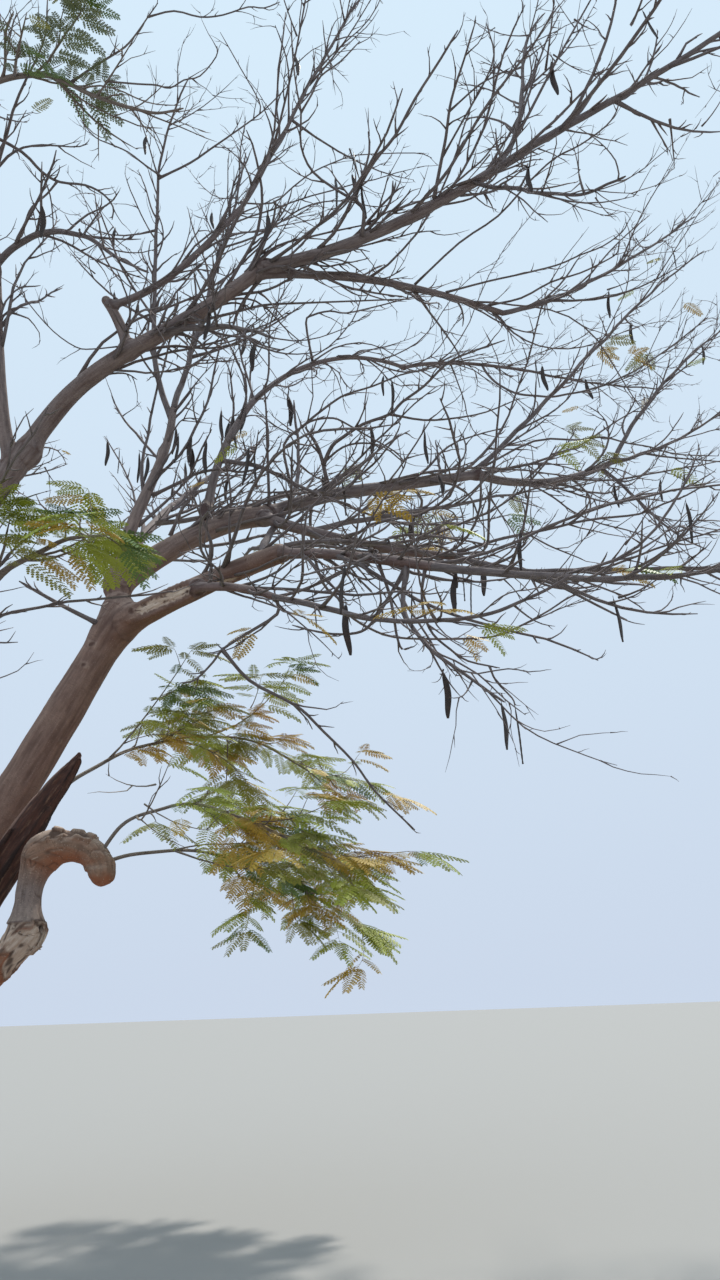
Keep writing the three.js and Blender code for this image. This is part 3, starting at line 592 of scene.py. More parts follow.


# %% [markdown]
# ## Bark relief
# The bark of this tree is thin and nearly smooth, with shallow lumps, faint flutes that run along
# the limb, ring-like wrinkles at bends, knots where twigs fell, and a ridge in each crotch. The
# relief is real geometry: each vertex moves in or out by a few millimetres. The noise is read in the
# limb's own coordinates, so that flutes run along it and don't cut across. Those coordinates are kept
# in an attribute for the material, with a second one that says where wood is bare, dark or crusted;
# much of that darkness is painted shade in grooves, hollows, cracks and crotches.

# %% Wounds and knots, placed by what the view shows
KNOTS = {  # pixel of the view: limb, radius of the knot in metres
    (98, 633): ("trunk", 0.016),
    (92, 645): ("trunk", 0.038),
    (84, 665): ("trunk", 0.034),
    (60, 742): ("trunk", 0.017),
    (282, 560): ("lower_bough", 0.040),
    (286, 543): ("lower_bough", 0.030),
    (246, 560): ("lower_bough", 0.016),
    (262, 522): ("middle_bough", 0.018),
    (205, 541): ("middle_bough", 0.018),
    (300, 489): ("middle_bough", 0.024),
    (176, 349): ("high_bough", 0.026),
    (120, 345): ("high_bough", 0.018),
    (132, 612): ("lower_bough", 0.036),
    (187, 592): ("lower_bough", 0.028),
    (216, 582): ("lower_bough", 0.020),
}
WOUNDS = [  # limb, two pixels of the view that it runs between, half its width in metres
    ("lower_bough", (134, 613), (192, 588), 0.050),
    ("middle_bough", (128, 566), (146, 561), 0.014),
    ("lower_bough", (198, 588), (238, 577), 0.013),
]
print("knots:", len(KNOTS), "wounds:", len(WOUNDS))


def ray_through(pixel):
    """The direction in which the view sees a pixel"""
    right, up, forward = camera_axes()
    ray = forward * FOCAL_PIXELS + right * (pixel[0] - VIEW_WIDTH / 2) + up * (VIEW_HEIGHT / 2 - pixel[1])
    return np.array(ray.normalized())


def seen_at(points):
    """Pixels of the view, and the depths, at which points are seen"""
    right, up, forward = (np.array(way) for way in camera_axes())
    offset = points - np.array(EYE)
    depth = offset @ forward
    return np.stack((VIEW_WIDTH / 2 + FOCAL_PIXELS * (offset @ right) / depth,
                     VIEW_HEIGHT / 2 - FOCAL_PIXELS * (offset @ up) / depth), axis=1), depth


def seen_on(limb, pixel):
    """Where the view's ray through a pixel meets a limb"""
    ray = ray_through(pixel)
    eye = np.array(EYE)
    axis = AXES[limb]
    offset = axis["points"] - eye
    depth = offset @ ray
    gap = offset - depth[:, None] * ray
    best = int((gap * gap).sum(axis=1).argmin())
    radius = axis["radius"][best]
    aside = -gap[best]
    miss = math.sqrt(aside @ aside)
    if miss > radius:
        return axis["points"][best] + aside * radius / miss
    return axis["points"][best] + aside - ray * math.sqrt(radius ** 2 - miss ** 2)


# %% Relief of sound bark
FLUTE = 0.0040
LUMP = 0.0065
WRINKLE = 0.0016
RIDGE = 0.004
RIDGE_WIDTH = 0.05
# how much painted shade darkens the crotch between limbs
CROTCH_PAINTED_SHADE = 0.6
WOUND_DEPTH = 0.014
CALLUS = 0.015
LIP = 1.2
SOUND_WIDTH = 0.034
RAGGED = 0.30
CHIP = 0.013
WOUND_EDGE, BARE_EDGE = 3, 5
# the wound's own tone, and the painted shade in its chip hollows
WOUND_DARK, CHIP_HOLLOW_SHADE = -0.2, 2.4
EDGE_GRAIN, CHIP_GRAIN, CRUMB_GRAIN = (42, 1.7), (11, 4.6), (60, 3)    # along and across the limb
CRUMBS = 0.4
KNOT_REACH, KNOT_GRAIN = 4, 45
KNOT_SQUASH = 1.6
KNOT_RAGGED = 0.7
KNOT_MIDDLE, KNOT_EDGE = 1.8, 3
KNOT_RISE, KNOT_SINK = 0.50, 0.55
KNOT_RIM, KNOT_DARK = 0.18, 2.3
COLLAR_LENGTH, COLLAR_RAGGED = 0.30, 0.05
COLLAR_HEIGHT, COLLAR_DARK = 0.019, 1.2
SCAR_RING, SCAR_BARE = 0.05, 0.7
FULL_RADIUS, LARGEST_RELIEF = 0.12, 1.3
# how fine across and along the limb, and how far shifted: lumps, flutes, wrinkles, wrinkled patches
SOUND_NOISES = ((7, 3.4, 0, 0), (26, 3.0, 0, 0), (5, 34, 9, 0), (3, 1.6, 0, 5))


def grain_noises(rows, x, y, z, seed):
    """The noise of each row at one place of a limb"""
    return [noise.noise((x * across + right, y * across + up, z * lengthwise + seed))
            for across, lengthwise, right, up in rows]


def collar(x, y, z):
    """The rising bough stands in a sleeve of old bark, with a pale ring where it ends"""
    over = z - COLLAR_LENGTH + COLLAR_RAGGED * noise.noise((x * 20, y * 20, 3))
    if over < 0:
        return COLLAR_HEIGHT * min(1, -30 * over), COLLAR_DARK, 0
    return 0, 0, max(0, 1 - over / SCAR_RING) * SCAR_BARE


def sound_bark(name, x, y, z, radius):
    """How far the bark stands out there, how dark it is, and how much bare wood shows"""
    size = min(radius / FULL_RADIUS, LARGEST_RELIEF)
    lump, flute, wrinkle, patch = grain_noises(SOUND_NOISES, x, y, z, OWN_NUMBER[name])
    height = size * (LUMP * lump + FLUTE * flute + WRINKLE * wrinkle * max(0, 0.4 + patch))
    # The darkness given back is -flute: painted shade in the grooves between the flutes
    if name == "rising_bough" and z < COLLAR_LENGTH + 2 * SCAR_RING:
        raised, dark, bare = collar(x, y, z)
        return height + raised, dark - flute, bare
    return height, -flute, 0


def knot_lumps(points, names, heights, bare, dark):
    """A knot is a low dome with a pale rim and a sunken, dark middle"""
    for pixel, (limb, size) in KNOTS.items():
        if limb not in names:
            continue
        heart = seen_on(limb, pixel)
        offset = points - heart
        near = np.flatnonzero(np.abs(offset).max(axis=1) < KNOT_REACH * size)
        if not len(near):
            continue
        axis = AXES[limb]
        way = axis["ways"][np.linalg.norm(axis["points"] - heart, axis=1).argmin()]
        along_limb = offset[near] @ way
        rough = np.array([noise.noise(Vector(spot) * KNOT_GRAIN) for spot in offset[near]])
        far = np.sqrt((offset[near] ** 2).sum(axis=1) + KNOT_SQUASH * along_limb ** 2) / size
        far = far * (1 + KNOT_RAGGED * rough)
        middle = np.exp(-(far * KNOT_MIDDLE) ** 2)
        rim = np.exp(-((far - 1) * KNOT_EDGE) ** 2)
        heights[near] += size * (KNOT_RISE * np.exp(-far ** 2) - KNOT_SINK * middle)
        bare[near] *= 1 - middle
        bare[near] += KNOT_RIM * rim * (1 - bare[near])
        dark[near] += KNOT_DARK * middle


def strip_noise(spots, grain, layer):
    """Noise at places along and across a strip"""
    return np.array([noise.noise((z * grain[0], a * grain[1], layer)) for z, a in spots])


def wound_strips(table, owner, names, heights, bare, dark):
    """Each wound is a strip of bare chipped wood with a rolled lip of callus round it"""
    for limb, first, last, half in WOUNDS:
        if limb not in names:
            continue
        ends = measure(AXES[limb], np.array([seen_on(limb, first), seen_on(limb, last)]))
        turns = np.arctan2(ends[:, 3], ends[:, 2])
        swing = (turns[1] - turns[0] + math.pi) % (2 * math.pi) - math.pi
        t = (table[:, 1] - ends[0, 1]) / (ends[1, 1] - ends[0, 1])
        angle = np.arctan2(table[:, 3], table[:, 2]) - turns[0] - np.clip(t, 0, 1) * swing
        across = ((angle + math.pi) % (2 * math.pi) - math.pi) * table[:, 4] / half
        q = np.sqrt((2 * t - 1) ** 4 + across ** 2)
        near = np.flatnonzero((owner == names.index(limb)) & (q < 2 + LIP))
        spots = list(zip(table[near, 1] * AXES[limb]["length"], across[near]))
        q = q[near] + RAGGED * strip_noise(spots, EDGE_GRAIN, half * 99)
        chips = strip_noise(spots, CHIP_GRAIN, 7) + CRUMBS * strip_noise(spots, CRUMB_GRAIN, 11)
        inside, lip = q < 1, (q >= 1) & (q < 1 + LIP)
        scale = half / SOUND_WIDTH
        heights[near[inside]] -= scale * WOUND_DEPTH * np.minimum(1, WOUND_EDGE * (1 - q[inside]))
        heights[near[inside]] += CHIP * chips[inside]
        heights[near[lip]] += CALLUS * np.sin((q[lip] - 1) / LIP * math.pi)
        bare[near[inside]] = np.minimum(1, BARE_EDGE * (1 - q[inside]))
        # Painted shade in the hollows between the chips: the lower a chip lies, the darker
        dark[near[inside]] = WOUND_DARK - CHIP_HOLLOW_SHADE * chips[inside]


# %% One piece of wood from its limbs
SMOOTHING = 2
NEWTON_STEPS = 3
BURIED = -0.015
FURTHEST = 0.10


def vectors_of(rows, key):
    """One vector of each vertex, as a table"""
    flat = np.empty(len(rows) * 3, dtype=np.float32)
    rows.foreach_get(key, flat)
    return flat.reshape(-1, 3).astype(float)


def coordinates(mesh):
    return vectors_of(mesh.vertices, "co")


def normals(mesh):
    return vectors_of(mesh.vertex_normals, "vector")


def place(mesh, points):
    mesh.vertices.foreach_set("co", points.astype(np.float32).ravel())
    mesh.update()


def attribute(mesh, title, kind, values):
    """Stores one value for each vertex, for a material to read"""
    layer = mesh.attributes.new(title, kind, "POINT")
    layer.data.foreach_set("color" if kind == "FLOAT_COLOR" else "vector", values.astype(np.float32).ravel())


def reshape(mesh, change):
    """Puts a mesh through a change that bmesh operators make"""
    bm = bmesh.new()
    bm.from_mesh(mesh)
    change(bm)
    bm.to_mesh(mesh)
    bm.free()


def smooth(bm):
    for _ in range(SMOOTHING):
        bmesh.ops.smooth_vert(bm, verts=bm.verts, factor=0.5, use_axis_x=True, use_axis_y=True,
                              use_axis_z=True)


def cut_at_ground(bm):
    geometry = [*bm.verts, *bm.edges, *bm.faces]
    cut = bmesh.ops.bisect_plane(bm, geom=geometry, plane_co=(0, 0, 0), plane_no=(0, 0, -1),
                                 clear_outer=True)["geom_cut"]
    rim = [item for item in cut if isinstance(item, bmesh.types.BMEdge)]
    if rim:
        bmesh.ops.contextual_create(bm, geom=rim)


def settle(mesh, names, beside):
    """Moves the vertices on to the rounded union of the limbs, and of bearers in other pieces"""
    everyone = [*names, *beside]
    for _ in range(NEWTON_STEPS):
        points = coordinates(mesh)
        distance, table, owner, _ = rounded_union(everyone, points)
        buried = (owner >= len(names)) & (table[:, 0] < BURIED)
        step = np.where(buried, 0, np.clip(-distance, -FURTHEST, FURTHEST))
        place(mesh, points + normals(mesh) * step[:, None])
    return rounded_union(everyone, coordinates(mesh))


def show(mesh, title, material, slot, *replaced):
    """Adds a finished mesh to the scene as a piece of the tree"""
    mesh.name = title
    mesh.materials.clear()
    mesh.materials.append(material)
    piece = bpy.data.objects.new(title, mesh)
    bpy.context.scene.collection.objects.link(piece)
    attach(piece, "root")
    if replaced:
        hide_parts(*replaced)
    triangles = sum(len(face.vertices) - 2 for face in mesh.polygons)
    print(title, len(mesh.vertices), "vertices", triangles, "tris")
    return piece


GREY_FROM, GREY_FULL = 4.3, 5.9


def grey_with_height(limbs, points, grain):
    """The bark greys with the height above the ground, up to the thin wood of the crown"""
    sleeve = (limbs == "rising_bough") & (grain[:, 2] < COLLAR_LENGTH)
    return np.clip((points[:, 2] - GREY_FROM) / (GREY_FULL - GREY_FROM), 0, 1) * ~sleeve


def wood_piece(title, names, beside, voxel, skin, greyness, material, slot):
    """Joins the limbs, gives them their bark's relief and puts the piece in the scene"""
    mesh = remeshed(limbs_mesh(names), voxel)
    reshape(mesh, smooth)
    _, table, owner, gap = settle(mesh, names, beside)
    points = coordinates(mesh)
    everyone = [*names, *beside]
    lengths = np.array([AXES[name]["length"] for name in everyone])
    seeds = np.array([OWN_NUMBER[name] for name in everyone])
    grain = np.stack((table[:, 2], table[:, 3], table[:, 1] * lengths[owner]), axis=1)
    rows = [skin(everyone[limb], *spot, radius) for limb, spot, radius in zip(owner, grain, table[:, 4])]
    heights, dark, bare = np.array(rows, dtype=float).T.copy()
    # A raised ridge fills each crotch, with painted shade darkest where the limbs meet
    crotch = np.maximum(0, 1 - gap / RIDGE_WIDTH)
    heights += RIDGE * crotch ** 2
    dark += CROTCH_PAINTED_SHADE * crotch ** 2
    wound_strips(table, owner, everyone, heights, bare, dark)
    knot_lumps(points, names, heights, bare, dark)
    place(mesh, points + normals(mesh) * heights[:, None])
    grey = greyness(np.array(everyone)[owner], points, grain)
    grain[:, 2] += seeds[owner]
    attribute(mesh, "grain", "FLOAT_VECTOR", grain)
    marks = np.stack((bare, np.clip(dark, -1, 1) * 0.5 + 0.5, crotch, grey), axis=1)
    attribute(mesh, "marks", "FLOAT_COLOR", marks)
    if "trunk" in names:
        reshape(mesh, cut_at_ground)
    mesh.polygons.foreach_set("use_smooth", [True] * len(mesh.polygons))
    return show(mesh, title, material, slot, *[name for name in names if name in frame["nodes"]])


# %% [markdown]
# ## The skin of the bark
# One node group makes the pattern that all bark here shares: soft patches, streaks along the limb
# and small pale pores. Each bark puts in its own sizes and mixes its own tones. The pattern reads
# the attribute of the limb's own coordinates, so that streaks follow each bough round its bends.

# %% A node group for bark
def new_group(title, inputs, outputs):
    tree = bpy.data.node_groups.new(title, "ShaderNodeTree")
    for name, kind, value in inputs:
        socket = tree.interface.new_socket(name=name, in_out="INPUT", socket_type="NodeSocket" + kind)
        if kind == "Float":
            socket.default_value = value
    for name, kind in outputs:
        tree.interface.new_socket(name=name, in_out="OUTPUT", socket_type="NodeSocket" + kind)
    return tree, tree.nodes.new("NodeGroupInput").outputs, tree.nodes.new("NodeGroupOutput").inputs


def stretched(tree, vector, stretch):
    return node(tree, "VectorMath", {0: vector, 1: stretch}, operation="MULTIPLY").outputs[0]


def ranged(tree, value, low, high, to_low=0.0, to_high=1.0):
    sockets = {"Value": value, "From Min": low, "From Max": high, "To Min": to_low, "To Max": to_high}
    return node(tree, "MapRange", sockets).outputs[0]


def reckoned(tree, operation, first, second):
    return node(tree, "Math", {0: first, 1: second}, operation=operation).outputs[0]


def times(tree, first, second):
    return reckoned(tree, "MULTIPLY", first, second)


def noise_of(tree, vector, scale, detail, roughness=0.5):
    sockets = {"Vector": vector, "Scale": scale, "Detail": detail, "Roughness": roughness}
    return node(tree, "TexNoise", sockets).outputs["Fac"]


def bumped(tree, skin, height, strength, distance):
    raised = node(tree, "Bump", {"Strength": strength, "Distance": distance, "Height": height})
    feed(tree, skin["Normal"], raised.outputs[0])


CRACK_SCALE = 24
EVEN, DRAWN, SQUAT, SQUEEZED = (1, 1, 0.6), (1, 1, 0.14), (1, 1, 1.7), (0.45, 0.45, 2.6)


def bark_pattern_group():
    sizes = [("Place", "Vector", 0), ("Patch Scale", "Float", 6), ("Streak Scale", "Float", 40),
             ("Pore Scale", "Float", 70)]
    outs = [("Patches", "Float"), ("Streaks", "Float"), ("Pores", "Float"), ("Cracks", "Float"),
            ("Height", "Float")]
    tree, given, out = new_group("bark_pattern", sizes, outs)
    place = given["Place"]
    patches = noise_of(tree, stretched(tree, place, EVEN), given["Patch Scale"], 5, 0.6)
    streaks = noise_of(tree, stretched(tree, place, DRAWN), given["Streak Scale"], 6, 0.65)
    cells = node(tree, "TexVoronoi", {"Vector": stretched(tree, place, SQUAT), "Scale": given["Pore Scale"]})
    dots = ranged(tree, cells.outputs["Distance"], 0.10, 0.32, 1, 0)
    sparse = ranged(tree, node(tree, "SeparateColor", {0: cells.outputs["Color"]}).outputs[0], 0.5, 0.6)
    pores = times(tree, dots, sparse)
    lines = noise_of(tree, stretched(tree, place, SQUEEZED), CRACK_SCALE, 3)
    off = reckoned(tree, "ABSOLUTE", reckoned(tree, "SUBTRACT", lines, 0.5), 0)
    cracks = times(tree, ranged(tree, off, 0, 0.02, 1, 0), ranged(tree, patches, 0.42, 0.58))
    feed(tree, out["Cracks"], cracks)
    feed(tree, out["Patches"], ranged(tree, patches, 0.35, 0.65))
    feed(tree, out["Streaks"], ranged(tree, streaks, 0.32, 0.68))
    feed(tree, out["Pores"], pores)
    rough = reckoned(tree, "ADD", streaks, times(tree, patches, 0.6))
    rough = reckoned(tree, "ADD", rough, times(tree, pores, 0.5))
    feed(tree, out["Height"], reckoned(tree, "SUBTRACT", rough, times(tree, cracks, 0.6)))
    return tree


BARK_PATTERN = bark_pattern_group()
print("nodes of the bark pattern:", len(BARK_PATTERN.nodes))


# %% Bark of the standing wood
BUMP_DISTANCE = 0.004
GREY_DEEP, GREY_PALE, GREY_SHARE = "5c5352", "8c827f", 0.7
BARE_DEEP, BARE_PALE = "b0937e", "e6d3c1"


def bark_nodes(tree, scales):
    """The shared pattern at these scales, and the piece's own marks: bare, dark and grey"""
    place = node(tree, "Attribute", attribute_name="grain").outputs["Vector"]
    stored = node(tree, "Attribute", attribute_name="marks").outputs
    marks = node(tree, "SeparateColor", {0: stored["Color"]}).outputs
    pattern = node(tree, "Group", node_tree=BARK_PATTERN)
    for name, value in zip(("Place", "Patch Scale", "Streak Scale", "Pore Scale"), (place, *scales)):
        feed(tree, pattern.inputs[name], value)
    return pattern.outputs, marks["Red"], marks["Green"], stored["Alpha"]


def layered(tree, tone, layers):
    """A tone with more tones laid over it, each as far as its mask says"""
    for mask, colour in layers:
        tone = mixed(tree, mask, tone, colour)
    return tone


def bark_material(title, deep, warm, pale, sunny, under, scales=(6, 40, 70), bump=0.5, lit=0.55,
                  under_share=0.6):
    """Streaks and patches in three tones, with painted sunlight on the upper sides and painted shade on the
    undersides
    """
    paint, tree, skin = new_material(title)
    pattern, bare, dark, grey = bark_nodes(tree, scales)
    # How far each face turns up: this places the painted sunlight and the painted shade below
    height = node(tree, "SeparateXYZ", {0: node(tree, "NewGeometry").outputs["Normal"]}).outputs["Z"]
    streaks = pattern["Streaks"]
    feed(tree, skin["Base Color"], layered(tree, mixed(tree, streaks, deep, warm), (
        (times(tree, pattern["Patches"], 0.6), pale),
        # Painted shade: a darker, warmer tone on faces that turn down
        (ranged(tree, height, -0.1, -0.8, 0, under_share), under),
        (times(tree, grey, GREY_SHARE), mixed(tree, streaks, GREY_DEEP, GREY_PALE)),
        # Painted shade in the cracks, which the bump also sinks
        (times(tree, pattern["Cracks"], 0.6), deep),
        # Painted sunlight: the lit side's tone on faces that turn up; the pores take the same pale tone
        (ranged(tree, height, 0.1, 0.95, 0, lit), sunny),
        (times(tree, pattern["Pores"], 0.45), sunny),
        (bare, mixed(tree, streaks, BARE_DEEP, BARE_PALE)),
        # The dark mark: painted shade in grooves, hollows, cracks and crotches, with the knots' and the
        # sleeve's own dark
        (ranged(tree, dark, 0.55, 1.0, 0, 0.85), deep))))
    feed(tree, skin["Roughness"], ranged(tree, pattern["Patches"], 0, 1, 0.82, 0.95))
    bumped(tree, skin, pattern["Height"], bump, BUMP_DISTANCE)
    return paint


BARK = bark_material("grey_brown_bark", "543c34", "876a5d", "a28576", "b89f8e", "754c3b")
UPPER_BARK = bark_material("grey_upper_bark", "4a3532", "7d6660", "917b74", "aa9a92", "654840",
                           scales=(9, 60, 90), bump=0.4)

# %% The trunk, the boughs and the arms
WOOD_PIECES = [  # title, limbs, bearers in other pieces, voxel size, material
    ("trunk_and_fork", ["trunk", "upright_bough", "lower_bough", "middle_bough"], [], 0.0113, BARK),
    ("side_stem_and_boughs", ["side_stem", "high_bough", "elbow_stub", "tall_stem", "left_bough",
                              "back_left_bough"], ["trunk"], 0.0115, BARK),
    ("spreading_arms", ["far_arm", "far_arm_end", "near_arm", "rising_bough", "rising_arm", "lower_arm",
                        "low_side_limb"], ["middle_bough", "lower_bough"], 0.010, UPPER_BARK),
    ("upper_arms", ["high_arm", "inner_arm", "elbow_bough", "tall_stem_top", "back_bough", "leafy_limb"],
     ["high_bough", "elbow_stub", "tall_stem", "side_stem", "upright_bough"], 0.010, UPPER_BARK),
]
for title, names, beside, voxel, material in WOOD_PIECES:
    wood_piece(title, names, beside, voxel, sound_bark, grey_with_height, material, "bark")

# %% [markdown]
# ## The broken stem
# The third stem broke off long ago. Its skin is pale and weathered, with fine cracks, and its
# underside is painted a darker orange-brown as shade. It bends over in a blunt elbow with a crust of
# old bark on top, and lower down the bark has peeled from the wood. Beside it stands a slab of dark
# rotten wood, torn along its fibres, which is a bundle of splinters here, run together by the same remesh.

# %% Weathered skin of the broken stem
PALE_LUMP, PALE_FINE = 0.007, 0.0025
CRACK_DEPTH, CRACK_SHARP = 0.0045, 14
PALE_NOISES = ((9, 7, 0, 0), (30, 16, 0, 0), (14, 6, 4, 0))
PLATE_NOISES = ((24, 17, 0, 0),)
CRUST = 0.024
CRUST_SPAN = (0.04, 0.34)
KNOB = 0.020
KNOBBY_FROM = 0.40
PEEL_DEPTH = 0.016
PEELED_FROM = (14, 944)
PEEL_REACH = 0.15
PEEL_RAGGED, PEEL_EDGE = 1.5, 4
PEEL_FINE, PEEL_LUMP = 0.010, 0.012
PEEL_BARE, PEEL_HOLLOW_SHADE, PEEL_DARK_FROM = 0.75, 2.4, 0.1
PEEL_LIP, PEEL_LIP_WIDTH = 0.010, 0.35
SHAFT_END, SHAFT_FADE = 0.50, 0.20
CRACK_SHADE, CRACK_LINE, BETWEEN_CRACKS = 0.9, 12, -0.2
TOP_STEEP, TOP_FROM = 2, 0.6
PLATE_FINE, PLATE_STEEP, PLATE_RAISED = 0.3, 4, 0.4
GAP_SHADE, GAP_STEEP, GAP_DARKEST = 0.5, 3, 1.6
KNOBBY_FADE, KNOB_LEAST = 0.10, 0.20


def peel_place():
    share = measure(AXES["broken_stem"], seen_on("broken_stem", PEELED_FROM)[None])[0, 1]
    return share * AXES["broken_stem"]["length"]


PEEL_MIDDLE = peel_place()


def grey_shaft(limbs, points, grain):
    """The shaft between the peeled place and the elbow is smooth and grey"""
    below = np.clip((grain[:, 2] - PEEL_MIDDLE) / PEEL_REACH, 0, 1) * (limbs == "broken_stem")
    above = np.clip((SHAFT_END - grain[:, 2]) / SHAFT_FADE, 0, 1) * (limbs == "broken_stem_upper")
    return below + above


def weathered_skin(name, x, y, z, radius):
    """Fine cracks, a crust on the elbow, its knobby end, and the place where bark has peeled"""
    seed = OWN_NUMBER[name]
    lump, fine, crack = grain_noises(PALE_NOISES, x, y, z, seed)
    height = PALE_LUMP * lump + PALE_FINE * fine - CRACK_DEPTH * max(0, 1 - abs(crack) * CRACK_SHARP)
    # Painted shade in the cracks that the line above sinks
    dark = CRACK_SHADE * max(0, 1 - abs(crack) * CRACK_LINE) + BETWEEN_CRACKS
    bare = 0.0
    if name == "broken_elbow" and CRUST_SPAN[0] < z < CRUST_SPAN[1]:
        top = min(max(TOP_STEEP * x / radius - TOP_FROM, 0), 1)
        plates = grain_noises(PLATE_NOISES, x, y, z, seed)[0] + PLATE_FINE * fine
        height += CRUST * top * min(max(PLATE_STEEP * plates + PLATE_RAISED, 0), 1)
        # Painted shade in the gaps between the crust's plates
        dark += top * min(max(GAP_SHADE - GAP_STEEP * plates, 0), GAP_DARKEST)
    if name == "broken_elbow" and z > KNOBBY_FROM:
        swollen = min(1, (z - KNOBBY_FROM) / KNOBBY_FADE)
        height += KNOB * swollen * (KNOB_LEAST + noise.noise((x * 17, y * 17, z * 15)))
    if name == "broken_stem":
        ragged = abs(z - PEEL_MIDDLE) / PEEL_REACH + PEEL_RAGGED * noise.noise((x * 13, y * 13, z * 4))
        if ragged < 1:
            bare = min(PEEL_BARE, BARE_EDGE * (1 - ragged))
            height = PEEL_FINE * fine + PEEL_LUMP * lump - PEEL_DEPTH * min(1, PEEL_EDGE * (1 - ragged))
            # Painted shade where the peeled wood lies lowest
            dark = PEEL_HOLLOW_SHADE * max(0, PEEL_DARK_FROM - lump - fine)
        elif ragged < 1 + PEEL_LIP_WIDTH:
            height += PEEL_LIP * math.sin((ragged - 1) / PEEL_LIP_WIDTH * math.pi)
    return height, dark, bare


PALE_BARK = bark_material("weathered_pale_bark", "4a3429", "946c55", "a98a74", "cdb8a5", "9c5c3c",
                          scales=(8, 30, 60), bump=0.6, lit=0.6, under_share=0.9)
wood_piece("broken_stem_wood", ["broken_stem", "broken_stem_upper", "broken_elbow"], ["trunk"], 0.009,
           weathered_skin, grey_shaft, PALE_BARK, "pale_bark")

# %% Torn rotten wood, a bundle of splinters
SPLINTERS = 11
SPLINTER_SEED = 211
SPLINTER_RADII = (0.040, 0.007)
FOOT_LOWEST, FOOT_SPREAD = 0.16, 0.30
SHORTEST, LONGER, TOP_HIGHEST = 0.30, 0.35, 0.98
OUT_AT_FOOT, OUT_AT_TIP = 0.55, 1.25
SPLIT, FIBRE, HOLLOW = 0.011, 0.004, 0.010
SPLIT_DARK, PALE_FIBRE, PALE_FROM = 1.2, 1.2, 0.25
TORN_NOISES = ((34, 3.2, 0, 0), (90, 9, 0, 0), (12, 5, 0, 0))
TORN_SCALES = (9, 90, 60)
TORN_BUMP, TORN_BUMP_DISTANCE = 0.7, 0.005
EDGE_STEEP, EDGE_FROM, EDGE_RISE = 2.5, 1.6, 4


def torn_fibres(name, x, y, z, radius):
    """The same split fibres run through every splinter"""
    split, fibre, hollow = grain_noises(TORN_NOISES, x, y, z, OWN_NUMBER["torn_wood"])
    height = SPLIT * split + FIBRE * fibre + HOLLOW * hollow
    return height, split * SPLIT_DARK, max(0, fibre - PALE_FROM) * PALE_FIBRE


def plan_splinters():
    """Splinters that stand round the torn slab's axis and end at their own heights"""
    slab = AXES["torn_wood"]
    draw = drawer(SPLINTER_SEED)
    for index in range(SPLINTERS):
        turn = 2 * math.pi * (index + draw()) / SPLINTERS
        low = FOOT_LOWEST + FOOT_SPREAD * draw()
        high = min(low + SHORTEST + LONGER * draw(), TOP_HIGHEST)
        first, last = (int(share * (len(slab["points"]) - 1)) for share in (low, high))
        rows = np.arange(first, last + 1)
        out = np.cos(turn) * slab["sides"][rows] + np.sin(turn) * slab["others"][rows]
        spread = np.linspace(OUT_AT_FOOT, OUT_AT_TIP, len(rows))[:, None] * slab["radius"][rows][:, None]
        name = f"splinter_{index + 1}"
        OWN_NUMBER[name] = own_number(name)
        path = slab["points"][rows] + out * spread
        AXES[name] = limb_axis(name, path, path_length(path), SPLINTER_RADII, 1, "torn_wood")
        yield name


def torn_material():
    paint, tree, skin = new_material("torn_dark_wood")
    pattern, bare, dark, weathered = bark_nodes(tree, TORN_SCALES)
    feed(tree, skin["Base Color"], layered(tree, mixed(tree, pattern["Streaks"], "261613", "56352a"), (
        (times(tree, pattern["Patches"], 0.4), "6a4537"),
        (ranged(tree, dark, 0.6, 1.0, 0, 0.8), "170f0d"),
        (bare, "8a6a55"),
        (weathered, "b08e7e"))))
    feed(tree, skin["Roughness"], ranged(tree, pattern["Streaks"], 0, 1, 0.85, 0.98))
    bumped(tree, skin, pattern["Height"], TORN_BUMP, TORN_BUMP_DISTANCE)
    return paint


def weathered_edge(limbs, points, grain):
    """Pale where the slab's open edge has lain in the weather: away from the tree's lean"""
    slab = measure(AXES["torn_wood"], points)
    outside = np.clip(-EDGE_STEEP * slab[:, 2] / slab[:, 4] - EDGE_FROM, 0, 1)
    return outside * np.clip(slab[:, 1] * EDGE_RISE - 1, 0, 1)


wood_piece("torn_wood_slab", ["torn_wood", *plan_splinters()], [], 0.009, torn_fibres, weathered_edge,
           torn_material(), "torn_wood")

# %% [markdown]
# ## How the twigs grow
# Each mass keeps to its own space round its stem. Shoots leave the stem on alternate sides, twigs
# leave the shoots, and one that would leave the space is tried shorter and then skipped. The same
# seeds give the same shoots as in the solids. From there the script goes on to finer twigs.

# %% The space each mass keeps to
LIMB_MARGIN = 0.015
TWIG_MARGIN = 0.006
SAMPLE_STEP = 0.060
LOWEST = 0.100
STEM_NAMES = list(STEMS)
SEGMENT_STARTS = np.vstack([path[:-1] for path in PATHS.values()])
SEGMENT_STEPS = np.vstack([np.diff(path, axis=0) for path in PATHS.values()])
SEGMENT_SQUARES = (SEGMENT_STEPS ** 2).sum(axis=1)
FIRST_SEGMENTS = np.arange(len(PATHS)) * PATH_STEPS
LIMB_CLEARANCE = np.array([LIMB_MARGIN + max(row[5]) for row in LIMBS.values()])


def path_distances(points):
    """Distance from each point to each limb's and each stem's path"""
    offset = points[:, None, :] - SEGMENT_STARTS
    t = np.clip(np.einsum("pnk,nk->pn", offset, SEGMENT_STEPS) / SEGMENT_SQUARES, 0, 1)
    gap = offset - t[..., None] * SEGMENT_STEPS
    return np.minimum.reduceat(np.sqrt(np.einsum("pnk,pnk->pn", gap, gap)), FIRST_SEGMENTS, axis=1)


